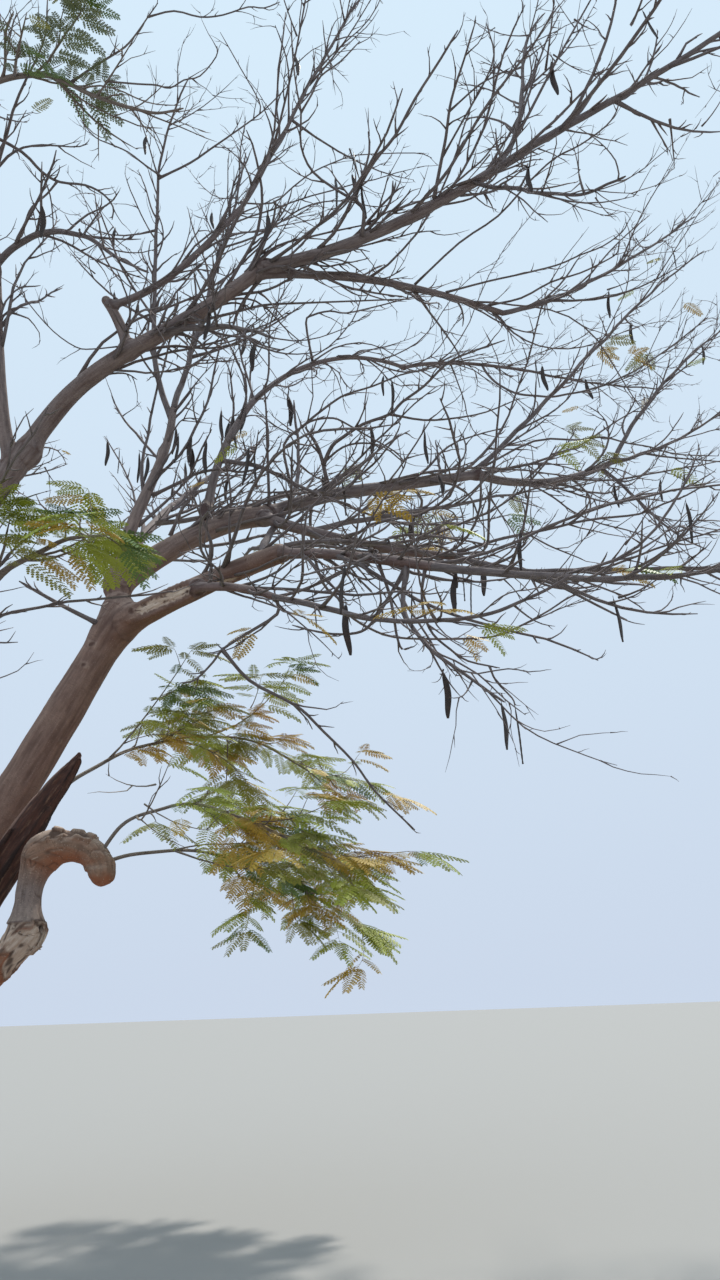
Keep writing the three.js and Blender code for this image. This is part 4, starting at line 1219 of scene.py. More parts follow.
def keeps_to_space(points, reach, mass):
    """Nearer to its own stem than to any other, and well clear of every limb"""
    far = path_distances(points)
    if (far[:, :len(LIMBS)] < reach + LIMB_CLEARANCE).any() or points[:, 2].min() <= LOWEST:
        return False
    stems = far[:, len(LIMBS):]
    own = STEM_NAMES.index(mass)
    lead = stems[:, own] + 2 * (reach + TWIG_MARGIN)
    stems[:, own] = math.inf
    return not (stems < lead[:, None]).any()


# %% The rule of the shoots
THINNEST = 0.005
TWIG_END = 0.45
SHORTENED = (1, 0.62, 0.4)
SHOOT_SEEDS = 31
AT_NODE, NODE_SPREAD = 0.2, 0.6
LOW_REACH, REACH_LOSS = 1.2, 0.7
SHOOT = {"spacing": 0.56, "count": (3, 6), "span": (0.14, 0.93), "angle": (36, 62), "length": (0.34, 0.56),
         "thick": 0.62, "steps": 2, "kink": 0.22, "lift": 0.10}
TWIG = {"spacing": 0.82, "count": (0, 2), "span": (0.30, 0.85), "angle": (34, 60), "length": (0.38, 0.62),
        "thick": 0.72, "steps": 1, "kink": 0.15, "lift": 0.16}


def radius_at(twig, share):
    if "thin" in twig:
        return twig["radius"] + (twig["thin"] - twig["radius"]) * share
    return twig["radius"] * (1 - TWIG_END * share)


def twig_path(start, way, length, rule, kinks):
    path = [start]
    heading = way
    for step in range(rule["steps"]):
        kink = np.array(kinks[3 * step:3 * step + 3]) - 0.5
        heading = unit(heading + kink * 2 * rule["kink"] + UP * rule["lift"])
        path.append(path[-1] + heading * length / rule["steps"])
    return np.array(path)


def samples_of(path, length, radius):
    count = math.ceil(length / SAMPLE_STEP)
    clear = min(0.5, 2 * radius / length)
    return np.array([point_at(path, clear + (1 - clear) * (k + 1) / count) for k in range(count)])


def lerped(pair, share):
    return pair[0] + (pair[1] - pair[0]) * share


def leaving_way(parent, share, index, angle, draw, swing=1.5):
    """The direction in which a shoot leaves its parent, on alternate sides"""
    way = way_at(parent["path"], share)
    flat = cross(way, UP)
    if math.sqrt(flat @ flat) < 0.2:
        flat = np.array((1.0, 0.0, 0.0)) - way * way[0]
    flat = unit(flat)
    turn = (index % 2) * math.pi + parent.get("turn", 0) + swing * (draw() - 0.5)
    flat = flat * math.cos(turn) + cross(way, flat) * math.sin(turn)
    angle = math.radians(lerped(angle, draw()))
    return way * math.cos(angle) + flat * math.sin(angle)


def grow_shoots(parent, rule, mass):
    length = path_length(parent["path"])
    count = min(max(int(length / rule["spacing"] + 0.5), rule["count"][0]), rule["count"][1])
    grown = []
    for index in range(count):
        seed = parent["seed"] * SHOOT_SEEDS + index + 1
        draw = drawer(seed)
        share = lerped(rule["span"], (index + AT_NODE + NODE_SPREAD * draw()) / count)
        out = leaving_way(parent, share, index, rule["angle"], draw)
        reach = length * lerped(rule["length"], draw()) * (LOW_REACH - REACH_LOSS * share)
        radius = max(radius_at(parent, share) * rule["thick"], THINNEST)
        kinks = [draw() for _ in range(3 * rule["steps"] + 1)]
        for part in SHORTENED:
            path = twig_path(point_at(parent["path"], share), out, reach * part, rule, kinks)
            if keeps_to_space(samples_of(path, reach * part, radius), radius, mass):
                grown.append({"path": path, "radius": radius, "seed": seed, "share": share, "parent": parent,
                              "turn": math.pi * kinks[-1], "mass": mass})
                break
    return grown


CARRIERS = {}
for mass, row in STEMS.items():
    stem = {"path": PATHS[mass], "radius": row[5][0], "thin": row[5][1], "seed": row[6], "mass": mass}
    shoots = grow_shoots(stem, SHOOT, mass)
    CARRIERS[mass] = stem, shoots, [twig for shoot in shoots for twig in grow_shoots(shoot, TWIG, mass)]
print("shoots:", sum(len(shoots) for _, shoots, _ in CARRIERS.values()),
      "twigs:", sum(len(twigs) for _, _, twigs in CARRIERS.values()))

# %% [markdown]
# The solids stop at two levels of straight twigs. Here the same shoots become smooth, slightly
# sagging curves, and finer levels grow on them: long side shoots that run nearly along their stem,
# kinked twigs, and short twiglets that turn up at their ends. The limbs bear long winding shoots
# too, some of them in tufts.

# %% Finer levels
STRAYING = 0.8
WINDING = 0.62
TWIG_SEEDS, LEVEL_SEEDS = 37, 501
MOSTLY_SHORT, FINE_REACH, FINE_LOSS = 1.4, 1.15, 0.55
LEAST_ASIDE, ZIGZAG_UP = 0.3, 0.6
TESTED_SHARES = (0.45, 0.75, 1.0)
LIMB_EASE = 0.008
BOX_LOW, BOX_HIGH = np.array(cad_box[0]), np.array(cad_box[1])
LIMB_SHOOT = {"spacing": 0.18, "angle": (12, 38), "length": (0.45, 2.6), "steps": 12, "kink": 0.13,
              "zigzag": 0.07, "lift": 0.012, "thick": 0.42, "thinnest": 0.0075, "end": 0.6}
SIDE_SHOOT = {"spacing": 0.24, "span": (0.04, 0.96), "angle": (16, 42), "length": (0.45, 1.5), "steps": 9,
              "kink": 0.11, "zigzag": 0.07, "lift": 0.040, "thick": 0.54, "thinnest": 0.0056, "end": 0.5}
FINE_TWIG = {"spacing": 0.25, "span": (0.18, 1.0), "angle": (22, 50), "length": (0.14, 0.62), "steps": 5,
             "kink": 0.17, "zigzag": 0.13, "lift": 0.10, "thick": 0.66, "thinnest": 0.0043, "end": 0.6}
TWIGLET = {"spacing": 0.26, "span": (0.30, 1.0), "angle": (24, 54), "length": (0.05, 0.20), "steps": 3,
           "kink": 0.24, "zigzag": 0.16, "lift": 0.18, "thick": 0.74, "thinnest": 0.0031, "end": 0.6}


def fine_path(start, way, length, rule, draw):
    """A path that winds, kinks to and fro at its nodes and turns up towards the light"""
    path = [start]
    heading = way
    bend = np.zeros(3)
    aside = cross(way, UP)
    aside = aside / max(math.sqrt(aside @ aside), LEAST_ASIDE)
    aside = aside * math.cos(6.3 * draw()) + UP * ZIGZAG_UP
    for step in range(rule["steps"]):
        kink = np.array((draw() - 0.5, draw() - 0.5, draw() - 0.5)) * 2 * rule["kink"]
        bend = bend * WINDING + kink
        swing = rule["zigzag"] * (1 if step % 2 else -1)
        heading = unit(heading + bend + aside * swing + UP * rule["lift"])
        path.append(path[-1] + heading * length / rule["steps"])
    return np.array(path)


def fine_twigs(parent, rule, level):
    """All the twigs of one level that a parent tries to grow"""
    length = path_length(parent["path"])
    count = int(length * (rule["span"][1] - rule["span"][0]) / rule["spacing"] + 0.5)
    tried = []
    for index in range(count):
        seed = parent["seed"] * TWIG_SEEDS + level * LEVEL_SEEDS + index
        draw = drawer(seed)
        share = lerped(rule["span"], (index + draw()) / count)
        out = leaving_way(parent, share, index, rule["angle"], draw)
        reach = lerped(rule["length"], draw() ** MOSTLY_SHORT) * (FINE_REACH - FINE_LOSS * share)
        radius = max(radius_at(parent, share) * rule["thick"], rule["thinnest"])
        path = fine_path(point_at(parent["path"], share), out, reach, rule, draw)
        tried.append({"path": path, "radius": radius, "seed": seed, "share": share, "end": rule["end"],
                      "turn": math.pi * draw(), "mass": parent["mass"], "parent": parent})
    return tried


def within_box(points):
    return ((points > BOX_LOW) & (points < BOX_HIGH)).all(axis=(1, 2))


def kept_in_space(tried, mass):
    """Those clear of the limbs and within their mass's space, a little of the next one's included"""
    if not tried:
        return []
    spots = np.stack([[point_at(twig["path"], share) for share in TESTED_SHARES] for twig in tried])
    radius = np.array([twig["radius"] for twig in tried])
    far = path_distances(spots.reshape(-1, 3)).reshape(len(tried), len(TESTED_SHARES), -1)
    clear = (far[:, :, :len(LIMBS)] > radius[:, None, None] + LIMB_CLEARANCE - LIMB_EASE).all(axis=(1, 2))
    free = np.ones(len(tried), dtype=bool)
    if mass in STEMS:
        stems = far[:, :, len(LIMBS):]
        own = STEM_NAMES.index(mass)
        lead = stems[:, :, own] * STRAYING
        stems[:, :, own] = math.inf
        free = (stems.min(axis=2) > lead + radius[:, None]).all(axis=1)
    paths = np.stack([twig["path"] for twig in tried])
    fine = clear & free & within_box(paths) & (paths[:, :, 2].min(axis=1) > LOWEST)
    return [twig for twig, good in zip(tried, fine) if good]


def grown_on(bearers, rule, level, mass):
    """The twigs of one level on all these bearers, those kept that stay in their mass's space"""
    return kept_in_space([twig for bearer in bearers for twig in fine_twigs(bearer, rule, level)], mass)


# %% Long shoots on the limbs
BRANCHING = {  # limb: share of its way at which its shoots begin
    "middle_bough": 0.40, "lower_bough": 0.50, "far_arm": 0.06, "far_arm_end": 0.02, "near_arm": 0.10,
    "lower_arm": 0.10, "low_side_limb": 0.15, "rising_bough": 0.26, "rising_arm": 0.02,
    "upright_bough": 0.36, "high_bough": 0.30, "high_arm": 0.03, "inner_arm": 0.08, "elbow_bough": 0.15,
    "tall_stem": 0.30, "tall_stem_top": 0.10, "back_bough": 0.25, "left_bough": 0.30,
    "back_left_bough": 0.30, "leafy_limb": 0.40, "trunk": 1,
}
TUFT = 4
TUFT_SPREAD = 0.035
UPWARD, UPWARD_SHARE = 0.22, 0.66
THICKEST = 0.018
SEATED = 0.8
MATE_SIZE = 0.45
LIMB_SEED, SEEDS_A_LIMB, SEEDS_A_TUFT = 5003, 100, 7


def limb_shoot(name, spot, side, short, draw):
    """One long shoot whose foot sits a little below the bark of its limb"""
    axis = AXES[name]
    thick = float(np.interp(spot, axis["share"], axis["radius"]))
    way = way_at(axis["points"], spot)
    out = leaving_way({"path": axis["points"]}, spot, side, LIMB_SHOOT["angle"], draw)
    out = unit(out + UP * UPWARD * (1 if draw() < UPWARD_SHARE else -1))
    length = lerped(LIMB_SHOOT["length"], draw() ** 1.3) * short
    radius = min(max(thick * LIMB_SHOOT["thick"], LIMB_SHOOT["thinnest"]), THICKEST) * (1 + short) / 2
    foot = point_at(axis["points"], spot) + unit(out - way * (out @ way)) * thick * SEATED
    return {"path": fine_path(foot, out, length, LIMB_SHOOT, draw), "radius": radius, "share": spot,
            "end": LIMB_SHOOT["end"], "turn": math.pi * draw(), "mass": name}


def limb_shoots(name, first):
    """All the shoots that a limb tries to grow, on alternate sides, some with a tuft beside them"""
    length = AXES[name]["length"]
    count = int(length * (1 - first) / LIMB_SHOOT["spacing"] + 0.5)
    tried = []
    for index in range(count):
        seed = LIMB_SEED + SEEDS_A_LIMB * list(LIMBS).index(name) + index
        draw = drawer(seed)
        share = lerped((first, 1), (index + draw()) / count)
        for mate in range(1 + int(TUFT * draw() ** 2)):
            spot = min(share + mate * TUFT_SPREAD / length, 1)
            shoot = limb_shoot(name, spot, index, 1 if mate == 0 else MATE_SIZE, draw)
            tried.append({**shoot, "seed": seed * SEEDS_A_TUFT + mate})
    return tried


# %% Branches that the view shows one by one
def pixels_of(text):
    """Pixels of the view, written as x,y pairs"""
    return [tuple(int(place) for place in pair.split(",")) for pair in text.split()]


SEEN_BRANCHES = [  # limb, radii at foot and end in mm, pixels of the view that the branch runs through
    ("far_arm", 17, 8, "316,470 311,510 312,545 323,583 338,598 348,614 369,628 394,637 435,639 491,637 "
     "520,626 548,611 572,596 601,589"),
    ("far_arm", 8, 5, "520,626 548,614 567,606 599,597"),
    ("far_arm", 24, 14, "325,468 319,450 305,427"),
    ("far_arm", 21, 9, "326,464 332,446 343,437 363,424 390,414 402,402 424,386 445,365 463,355 505,340"),
    ("far_arm", 13, 6, "390,414 424,420 455,418 486,412 520,398"),
    ("far_arm", 13, 7, "329,463 343,447 363,443 384,447 404,463"),
    ("middle_bough", 14, 6, "290,482 284,445 302,427 314,420 333,418 347,424 373,439 394,451 406,463"),
    ("middle_bough", 13, 6, "302,427 312,418 333,402 347,394 373,386 400,375 424,369 460,352"),
    ("middle_bough", 16, 7, "278,490 268,470 267,440 266,410 264,385"),
    ("middle_bough", 17, 10, "168,532 184,506 203,489"),
    ("rising_bough", 13, 6, "336,344 363,357 384,367 404,372 424,370 455,361 486,353"),
    ("lower_bough", 23, 12, "285,546 298,543 333,541 363,543 394,544 424,553 455,566 486,572"),
    ("lower_arm", 14, 7, "378,568 389,593 394,619 397,637 402,649 412,647"),
    ("lower_arm", 12, 6, "425,570 422,591 424,614 433,634 450,649 468,661 500,668"),
    ("lower_arm", 15, 6, "405,568 394,588 382,608 369,626 356,633 333,634 310,630 292,625"),
    ("lower_arm", 8, 5, "488,667 496,681 512,698 515,706"),
    ("low_side_limb", 14, 6, "290,607 277,614 246,634 223,649 213,662 195,680 180,683"),
    ("low_side_limb", 13, 6, "277,597 302,590 333,577 353,567 390,555 430,546"),
    ("low_side_limb", 14, 6, "223,649 249,680 282,698 302,710 323,731 353,761 374,790 399,815 415,830"),
    ("upright_bough", 19, 9, "155,497 182,481 195,474 220,469 240,472 262,468"),
    ("trunk", 22, 10, "99,624 67,608 38,592 19,581"),
    ("tall_stem_top", 12, 5, "75,76 95,66 108,58 125,47 137,33 148,17 158,3"),
    ("tall_stem_top", 16, 7, "-8,132 22,152 42,172 60,182 85,185 103,194 113,207 112,220"),
    ("tall_stem_top", 8, 5, "42,171 50,195 53,220 54,240 60,252"),
    ("tall_stem_top", 11, 6, "57,181 47,194 32,207 26,220 22,236 8,248"),
    ("upright_bough", 14, 6, "162,180 190,163 212,148 235,132 262,112 290,84"),
    ("upright_bough", 11, 5, "160,186 145,165 128,152 110,144 95,137 80,120"),
    ("high_bough", 13, 5, "221,248 252,238 279,223 297,211 317,203 344,201 381,207 403,195"),
    ("high_bough", 12, 5, "250,262 277,246 313,236 354,227 385,221"),
    ("high_bough", 11, 5, "236,201 272,203 293,187 313,172 340,160 358,155 415,153 432,158"),
    ("high_bough", 10, 5, "272,203 293,215 319,229"),
    ("high_arm", 18, 8, "362,236 364,211 356,196 374,162 395,136 415,99 440,60 458,30"),
    ("high_arm", 16, 7, "434,199 442,158 446,137 450,107 456,84 464,60 476,20"),
    ("high_arm", 12, 5, "356,200 340,192 313,172 301,146 301,113 297,91 293,60 291,20"),
    ("high_bough", 19, 10, "268,276 250,292 238,312 232,330"),
    ("rising_bough", 14, 6, "308,347 306,323 313,315 330,311 346,313 374,307 405,299 436,291"),
    ("far_arm", 12, 6, "503,471 529,485 553,497 572,511 599,523 627,530 649,538 682,552"),
    ("far_arm", 13, 6, "486,450 534,441 579,440 603,437 627,443 651,447 675,454 718,456"),
    ("near_arm", 14, 6, "460,543 496,540 529,533 553,528 577,522 603,518 639,514 663,504 687,495 715,478"),
    ("near_arm", 10, 5, "567,519 591,509 615,502 639,495 663,492 687,487 715,471"),
    ("near_arm", 8, 5, "529,535 548,545 567,553 582,559"),
    ("near_arm", 12, 5, "472,552 500,574 534,579 567,583 591,576 615,571"),
    ("high_bough", 14, 6, "201,325 232,313 264,305 303,303 354,301 405,299"),
    ("inner_arm", 10, 5, "415,275 459,243 498,216 530,181 555,158 580,145 606,126 617,110 619,96"),
    ("inner_arm", 10, 5, "447,290 489,281 521,274 557,265 580,255 603,246 622,232 629,220"),
    ("inner_arm", 11, 5, "489,302 521,298 551,282 580,273 603,262 617,253 619,241"),
    ("high_arm", 9, 5, "442,158 470,108 483,85 494,55 486,23"),
    ("high_arm", 8, 5, "450,112 479,85 498,75 510,68"),
    ("high_arm", 9, 5, "303,112 312,94 321,76 340,62 360,41"),
    ("high_bough", 7, 4, "118,342 92,349 76,347 53,331 30,305 15,282"),
    ("tall_stem_top", 8, 5, "148,17 174,11 200,17 223,15 248,7 264,8 280,2"),
    ("tall_stem_top", 8, 5, "115,87 138,84 156,85 170,88 184,80 200,76 216,57 217,46"),
    ("elbow_bough", 8, 5, "261,117 259,101 241,69 220,32"),
]
print("branches that the view shows:", len(SEEN_BRANCHES))

NEAR_PIXELS = 14
LIMB_PIXELS = 24
FOOT_SHARES = np.linspace(0.02, 0.98, 60)


def nearest_seen(bearers, pixel):
    """The point of these twigs that the view shows nearest to a pixel, and its pixels from there"""
    if not bearers:
        return None, math.inf
    points = np.array([point_at(twig["path"], share) for twig in bearers for share in FOOT_SHARES])
    spots, depth = seen_at(points)
    gap = np.linalg.norm(spots - pixel, axis=1) + VIEW_HEIGHT * (depth < 1)
    return points[gap.argmin()], gap.min()


def seen_foot(limb, pixel, earlier):
    """The foot of a branch: on its limb, or on an earlier branch or a stem that the view shows there"""
    foot = seen_on(limb, pixel)
    if np.linalg.norm(seen_at(foot[None])[0][0] - pixel) < LIMB_PIXELS:
        return foot
    stems = [twig for mass in STEMS for twig in GROWTH[mass]["stem"] + GROWTH[mass]["first"]]
    for bearers in (earlier, stems):
        point, gap = nearest_seen(bearers, pixel)
        if gap < NEAR_PIXELS:
            return point
    return foot


def seen_branch(limb, thick, thin, pixels, earlier):
    """A branch that keeps the distance of its foot from the view"""
    radii = thick / 1000, thin / 1000
    foot = seen_foot(limb, pixels[0], earlier)
    far = np.linalg.norm(foot - np.array(EYE))
    line = np.array([foot, *[np.array(EYE) + far * ray_through(pixel) for pixel in pixels[1:]]])
    return {"path": smoothed(line, 3), "radius": radii[0], "end": 1 - radii[1] / radii[0], "turn": 0,
            "mass": limb, "seed": int(sum(pixels[-1])), "share": 0}


# %% Every mass grown out
SAG = 0.07
STEM_DRIFT, STEM_DRIFT_PITCH, STEM_CALM_ENDS = 0.020, 3.2, 9
LEAFY_FROM = 8
LEAFY = [mass for mass, row in STEMS.items() if row[7] > LEAFY_FROM]
LEAFY_TO = {"overhanging_foliage": 0.28}
SPROUTS = ("long_sprout_foliage", "short_sprout_foliage", "low_sprout_foliage")
SPROUT_SHOOT = {"spacing": 0.34, "span": (0.25, 0.95), "angle": (24, 52), "length": (0.35, 0.95), "steps": 7,
                "kink": 0.11, "zigzag": 0.07, "lift": -0.010, "thick": 0.52, "thinnest": 0.0042, "end": 0.5}


def bowed(twig):
    """The solids' straight twig as a smooth line that sags a little between its ends"""
    line = smoothed(twig["path"], 3 if len(twig["path"]) > 2 else 5)
    t = np.linspace(0, 1, len(line))
    line = line - UP * (SAG * 4 * t * (1 - t))[:, None] * path_length(twig["path"])
    return {**twig, "path": line, "end": 0.62}


def wandering(stem):
    """A stem with slight bends where shoots leave it"""
    line = smoothed(stem["path"], 2)
    share = np.linspace(0, 1, len(line))
    length = path_length(line)
    drift = np.array([noise.noise_vector(Vector((spot * length * STEM_DRIFT_PITCH, 0, stem["seed"])))
                      for spot in share])
    calm = np.minimum(1, np.minimum(share, 1 - share) * STEM_CALM_ENDS)
    return {**stem, "path": line + drift * (STEM_DRIFT * calm)[:, None]}


GROWTH = {}
for mass, (stem, shoots, twigs) in CARRIERS.items():
    stem = wandering(stem)
    first = [bowed(shoot) for shoot in shoots]
    second = [bowed(twig) for twig in twigs]
    leafy = mass in LEAFY and mass not in LEAFY_TO
    side_rule = SPROUT_SHOOT if mass in SPROUTS else SIDE_SHOOT
    side = [] if leafy and mass not in SPROUTS else grown_on([stem], side_rule, 1, mass)
    bearers = [*first, *second, *side]
    fine = grown_on([stem, *bearers], FINE_TWIG, 2, mass)
    tiny = [] if leafy else grown_on([*bearers, *fine], TWIGLET, 3, mass)
    GROWTH[mass] = {"stem": [stem], "first": first, "second": second, "side": side, "fine": fine,
                    "tiny": tiny}
earlier = []
for name, first in BRANCHING.items():
    seen = []
    for limb, thick, thin, way in SEEN_BRANCHES:
        if limb == name:
            seen.append(seen_branch(limb, thick, thin, pixels_of(way), earlier + seen))
    earlier += seen
    side = kept_in_space(limb_shoots(name, first), name)
    fine = grown_on([*seen, *side], FINE_TWIG, 2, name)
    tiny = grown_on([*seen, *side, *fine], TWIGLET, 3, name)
    GROWTH[name] = {"stem": [], "first": seen, "second": [], "side": side, "fine": fine, "tiny": tiny}
for level in ("stem", "first", "second", "side", "fine", "tiny"):
    print(level, sum(len(grown[level]) for grown in GROWTH.values()))

# %% [markdown]
# Thousands of twigs would be slow to extrude one by one. All twigs of one level have the same
# number of rings, so numpy can lay out every ring of every twig at once, and each bundle becomes one
# joined mesh. Each tube is closed at both ends.

# %% Many thin tubes as one mesh
BASE_SWELL = 0.35
BLUNT_TIP = 0.55


def tube_frames(paths):
    """The way along each path and two directions across it"""
    ways = np.gradient(paths, axis=1)
    ways /= np.linalg.norm(ways, axis=2, keepdims=True)
    whole = paths[:, -1] - paths[:, 0]
    steep = np.abs(whole[:, 2:]) > 0.8 * np.linalg.norm(whole, axis=1, keepdims=True)
    flat = np.where(steep, (1.0, 0.0, 0.0), (0.0, 0.0, 1.0))[:, None]
    across = flat - ways * (ways * flat).sum(axis=2, keepdims=True)
    across /= np.linalg.norm(across, axis=2, keepdims=True)
    return ways, across, np.cross(ways, across)


def tubes(paths, radii, sides):
    """Rings round paths of equally many steps: points, grain, face corners and face sizes"""
    count, steps = paths.shape[:2]
    ways, across, other = tube_frames(paths)
    angle = 2 * math.pi * np.arange(sides) / sides
    x = radii[:, :, None] * np.cos(angle)
    y = radii[:, :, None] * np.sin(angle)
    points = paths[:, :, None] + x[..., None] * across[:, :, None] + y[..., None] * other[:, :, None]
    far = np.linalg.norm(np.diff(paths, axis=1), axis=2).cumsum(axis=1)
    far = np.hstack((np.zeros((count, 1)), far)) + OWN_STEP * np.arange(count)[:, None]
    grain = np.stack((x, y, np.broadcast_to(far[..., None], x.shape)), axis=-1)
    here = np.arange(count * steps * sides).reshape(count, steps, sides)
    next_one = np.roll(here, -1, axis=2)
    walls = np.stack((here[:, :-1], next_one[:, :-1], next_one[:, 1:], here[:, 1:]), axis=-1)
    caps = np.stack((here[:, 0, ::-1], here[:, -1]), axis=1)
    corners = np.concatenate((walls.ravel(), caps.ravel()))
    sizes = np.concatenate((np.full(walls.size // 4, 4), np.full(2 * count, sides)))
    return points.reshape(-1, 3), grain.reshape(-1, 3), corners, sizes


def joined_mesh(parts):
    """One mesh from several parts, each given as points, grain, corners and sizes"""
    points, grain, corners, sizes = zip(*parts)
    shifts = np.cumsum([0, *[len(part) for part in points[:-1]]])
    corners = np.concatenate([part + shift for part, shift in zip(corners, shifts)])
    points, grain, sizes = np.vstack(points), np.vstack(grain), np.concatenate(sizes)
    mesh = bpy.data.meshes.new("joined")
    mesh.vertices.add(len(points))
    place(mesh, points)
    mesh.loops.add(len(corners))
    mesh.loops.foreach_set("vertex_index", corners.astype(np.int32))
    mesh.polygons.add(len(sizes))
    mesh.polygons.foreach_set("loop_start", (np.cumsum(sizes) - sizes).astype(np.int32))
    mesh.polygons.foreach_set("use_smooth", [True] * len(sizes))
    mesh.update(calc_edges=True)
    attribute(mesh, "grain", "FLOAT_VECTOR", grain)
    return mesh


def twig_tubes(twigs, sides):
    """The tubes of twigs of one level, swollen where they leave their bearer"""
    paths = np.stack([twig["path"] for twig in twigs])
    share = np.linspace(0, 1, paths.shape[1])
    radii = np.array([[radius_at(twig, spot) for spot in share] for twig in twigs])
    for row, twig in enumerate(twigs):
        if "thin" not in twig:
            radii[row] = twig["radius"] * (1 - twig["end"] * share)
            radii[row, 0] *= 1 + BASE_SWELL
    radii[:, -1] *= BLUNT_TIP
    return tubes(paths, radii, sides)


# %% The twigs of the crown, one piece for each part of it
TWIG_SIDES = {"stem": 8, "first": 5, "second": 4, "side": 4, "fine": 3, "tiny": 3}


def masses(names):
    """Masses of twigs, written without the last word of their names"""
    return [name + "_twigs" for name in names.split()]


CROWN_PARTS = {
    "spreading_crown_twigs": masses("far_upper far_right far_drooping far_leader near_tip near_inner"),
    "lower_crown_twigs":
        masses("lower_tip hanging lower_upright sagging rising_tip rising_side rising_drooping"),
    "upper_crown_twigs": masses("upright_left upright_right high_tip high_upper high_drooping inner_arm "
                                "high_low elbow_bough arching tall_stem"),
    "back_crown_twigs": masses("back_tip back_side left_tip left_side back_left"),
    "leafy_crown_twigs": LEAFY,
    "arm_side_shoots": ["trunk", "middle_bough", "lower_bough", "far_arm", "far_arm_end", "near_arm",
                        "lower_arm", "low_side_limb", "rising_bough", "rising_arm"],
    "bough_side_shoots": ["upright_bough", "high_bough", "high_arm", "inner_arm", "elbow_bough",
                          "tall_stem", "tall_stem_top", "back_bough", "left_bough", "back_left_bough",
                          "leafy_limb"],
}
TWIG_BARK = bark_material("grey_twig_bark", "3b2d2b", "574442", "6c5a55", "847470", "453533",
                          scales=(14, 90, 160), bump=0.35, lit=0.5)
SPROUT_BARK = bark_material("light_sprout_bark", "5e4c3a", "8a735a", "a08b70", "b5a388", "6f5940",
                            scales=(14, 90, 160), bump=0.35, lit=0.5)
for title, names in CROWN_PARTS.items():
    parts = []
    for level, sides in TWIG_SIDES.items():
        twigs = [twig for name in names for twig in GROWTH[name][level]]
        for size in sorted({len(twig["path"]) for twig in twigs}):
            parts.append(twig_tubes([twig for twig in twigs if len(twig["path"]) == size], sides))
    leafy = title == "leafy_crown_twigs"
    show(joined_mesh(parts), title, SPROUT_BARK if leafy else TWIG_BARK,
         "leafy_twigs" if leafy else "twigs", *[name for name in names if name in STEMS])

# %% [markdown]
# ## Leaves
# A leaf of this tree is a feather of feathers: a thin rib of about 0.42 m with pairs of side ribs,
# and each side rib carries two rows of tiny leaflets. Here a leaflet is a blade of two triangles that
# narrows to its end, and it stands for two or three of the real ones, which keeps the true toothed
# outline. One leaf is laid out once by formula and copied to every place as arrays.

# %% One feathery leaf as arrays
LEAF_LENGTH = 0.42
LEAF_PAIRS = 10
BARE_STALK = 0.13
SIDE_RIB = 0.100
LEAFLETS = 4
LEAFLET_REACH = 0.0150
LEAFLET_TIP = 0.62
RIB_RADIUS, RIB_TAPER = 0.0016, (1.3, 0.5)
RIB_STEP, RIB_STEPS = 0.02, 6
OPEN_ANGLES, OPEN_DRAW = (72, 34), 8
FULLEST_LOW, RIB_BARE = 0.8, 0.08
RIB_LENGTHS, RIB_SAGS, BLADE_WIDTHS = (0.9, 0.2), (0.10, 0.16), (0.22, 0.58)    # least and range
BLADE_AHEAD, BLADE_DROOP = 0.35, 0.15
DROOPS = {5: 0.08, 6: 0.18, 7: 0.30}    # of each leaf's seed


def rib_place(share, droop):
    """A point of the rib, which bends down towards its end"""
    return np.array((LEAF_LENGTH * share, 0, -droop * LEAF_LENGTH * share ** 2))


def side_rib(share, side, droop, draw):
    """The triangles of one side rib with its two rows of leaflets"""
    start = rib_place(share, droop)
    ahead = rib_place(share + RIB_STEP, droop) - start
    ahead = ahead / np.linalg.norm(ahead)
    open_angle = math.radians(OPEN_ANGLES[0] - OPEN_ANGLES[1] * share + OPEN_DRAW * (draw() - 0.5))
    way = ahead * math.cos(open_angle) + np.array((0, side, 0)) * math.sin(open_angle)
    rounded = 0.5 + 0.5 * math.sin(math.pi * share ** FULLEST_LOW)
    length = SIDE_RIB * rounded * (RIB_LENGTHS[0] + RIB_LENGTHS[1] * draw())
    step = np.linspace(RIB_BARE, 1, LEAFLETS + 1)[:, None]
    sag = np.array((0, 0, -1.0)) * (RIB_SAGS[0] + RIB_SAGS[1] * draw())
    spine = start + way * length * step + sag * length * step ** 2
    over = np.cross(way, (0, 0, 1.0))
    over = over / np.linalg.norm(over)
    middle = (spine[:-1] + spine[1:]) / 2
    half = (spine[1:] - spine[:-1]) / 2 * LEAFLET_TIP
    reach = LEAFLET_REACH * np.sin(math.pi * (BLADE_WIDTHS[0] + BLADE_WIDTHS[1] * step[1:]))
    points = [spine]
    faces = []
    for row, turn in enumerate((-1, 1)):
        tip = middle + over * turn * reach + way * BLADE_AHEAD * reach - UP * BLADE_DROOP * reach
        points += [tip - half, tip + half]
        for index in range(LEAFLETS):
            near = LEAFLETS + 1 + 2 * row * LEAFLETS + index
            blade = (index, index + 1, near + LEAFLETS, near)
            blade = blade if turn > 0 else blade[::-1]
            faces += [blade[:3], (blade[0], *blade[2:])]
    return np.vstack(points), np.array(faces)


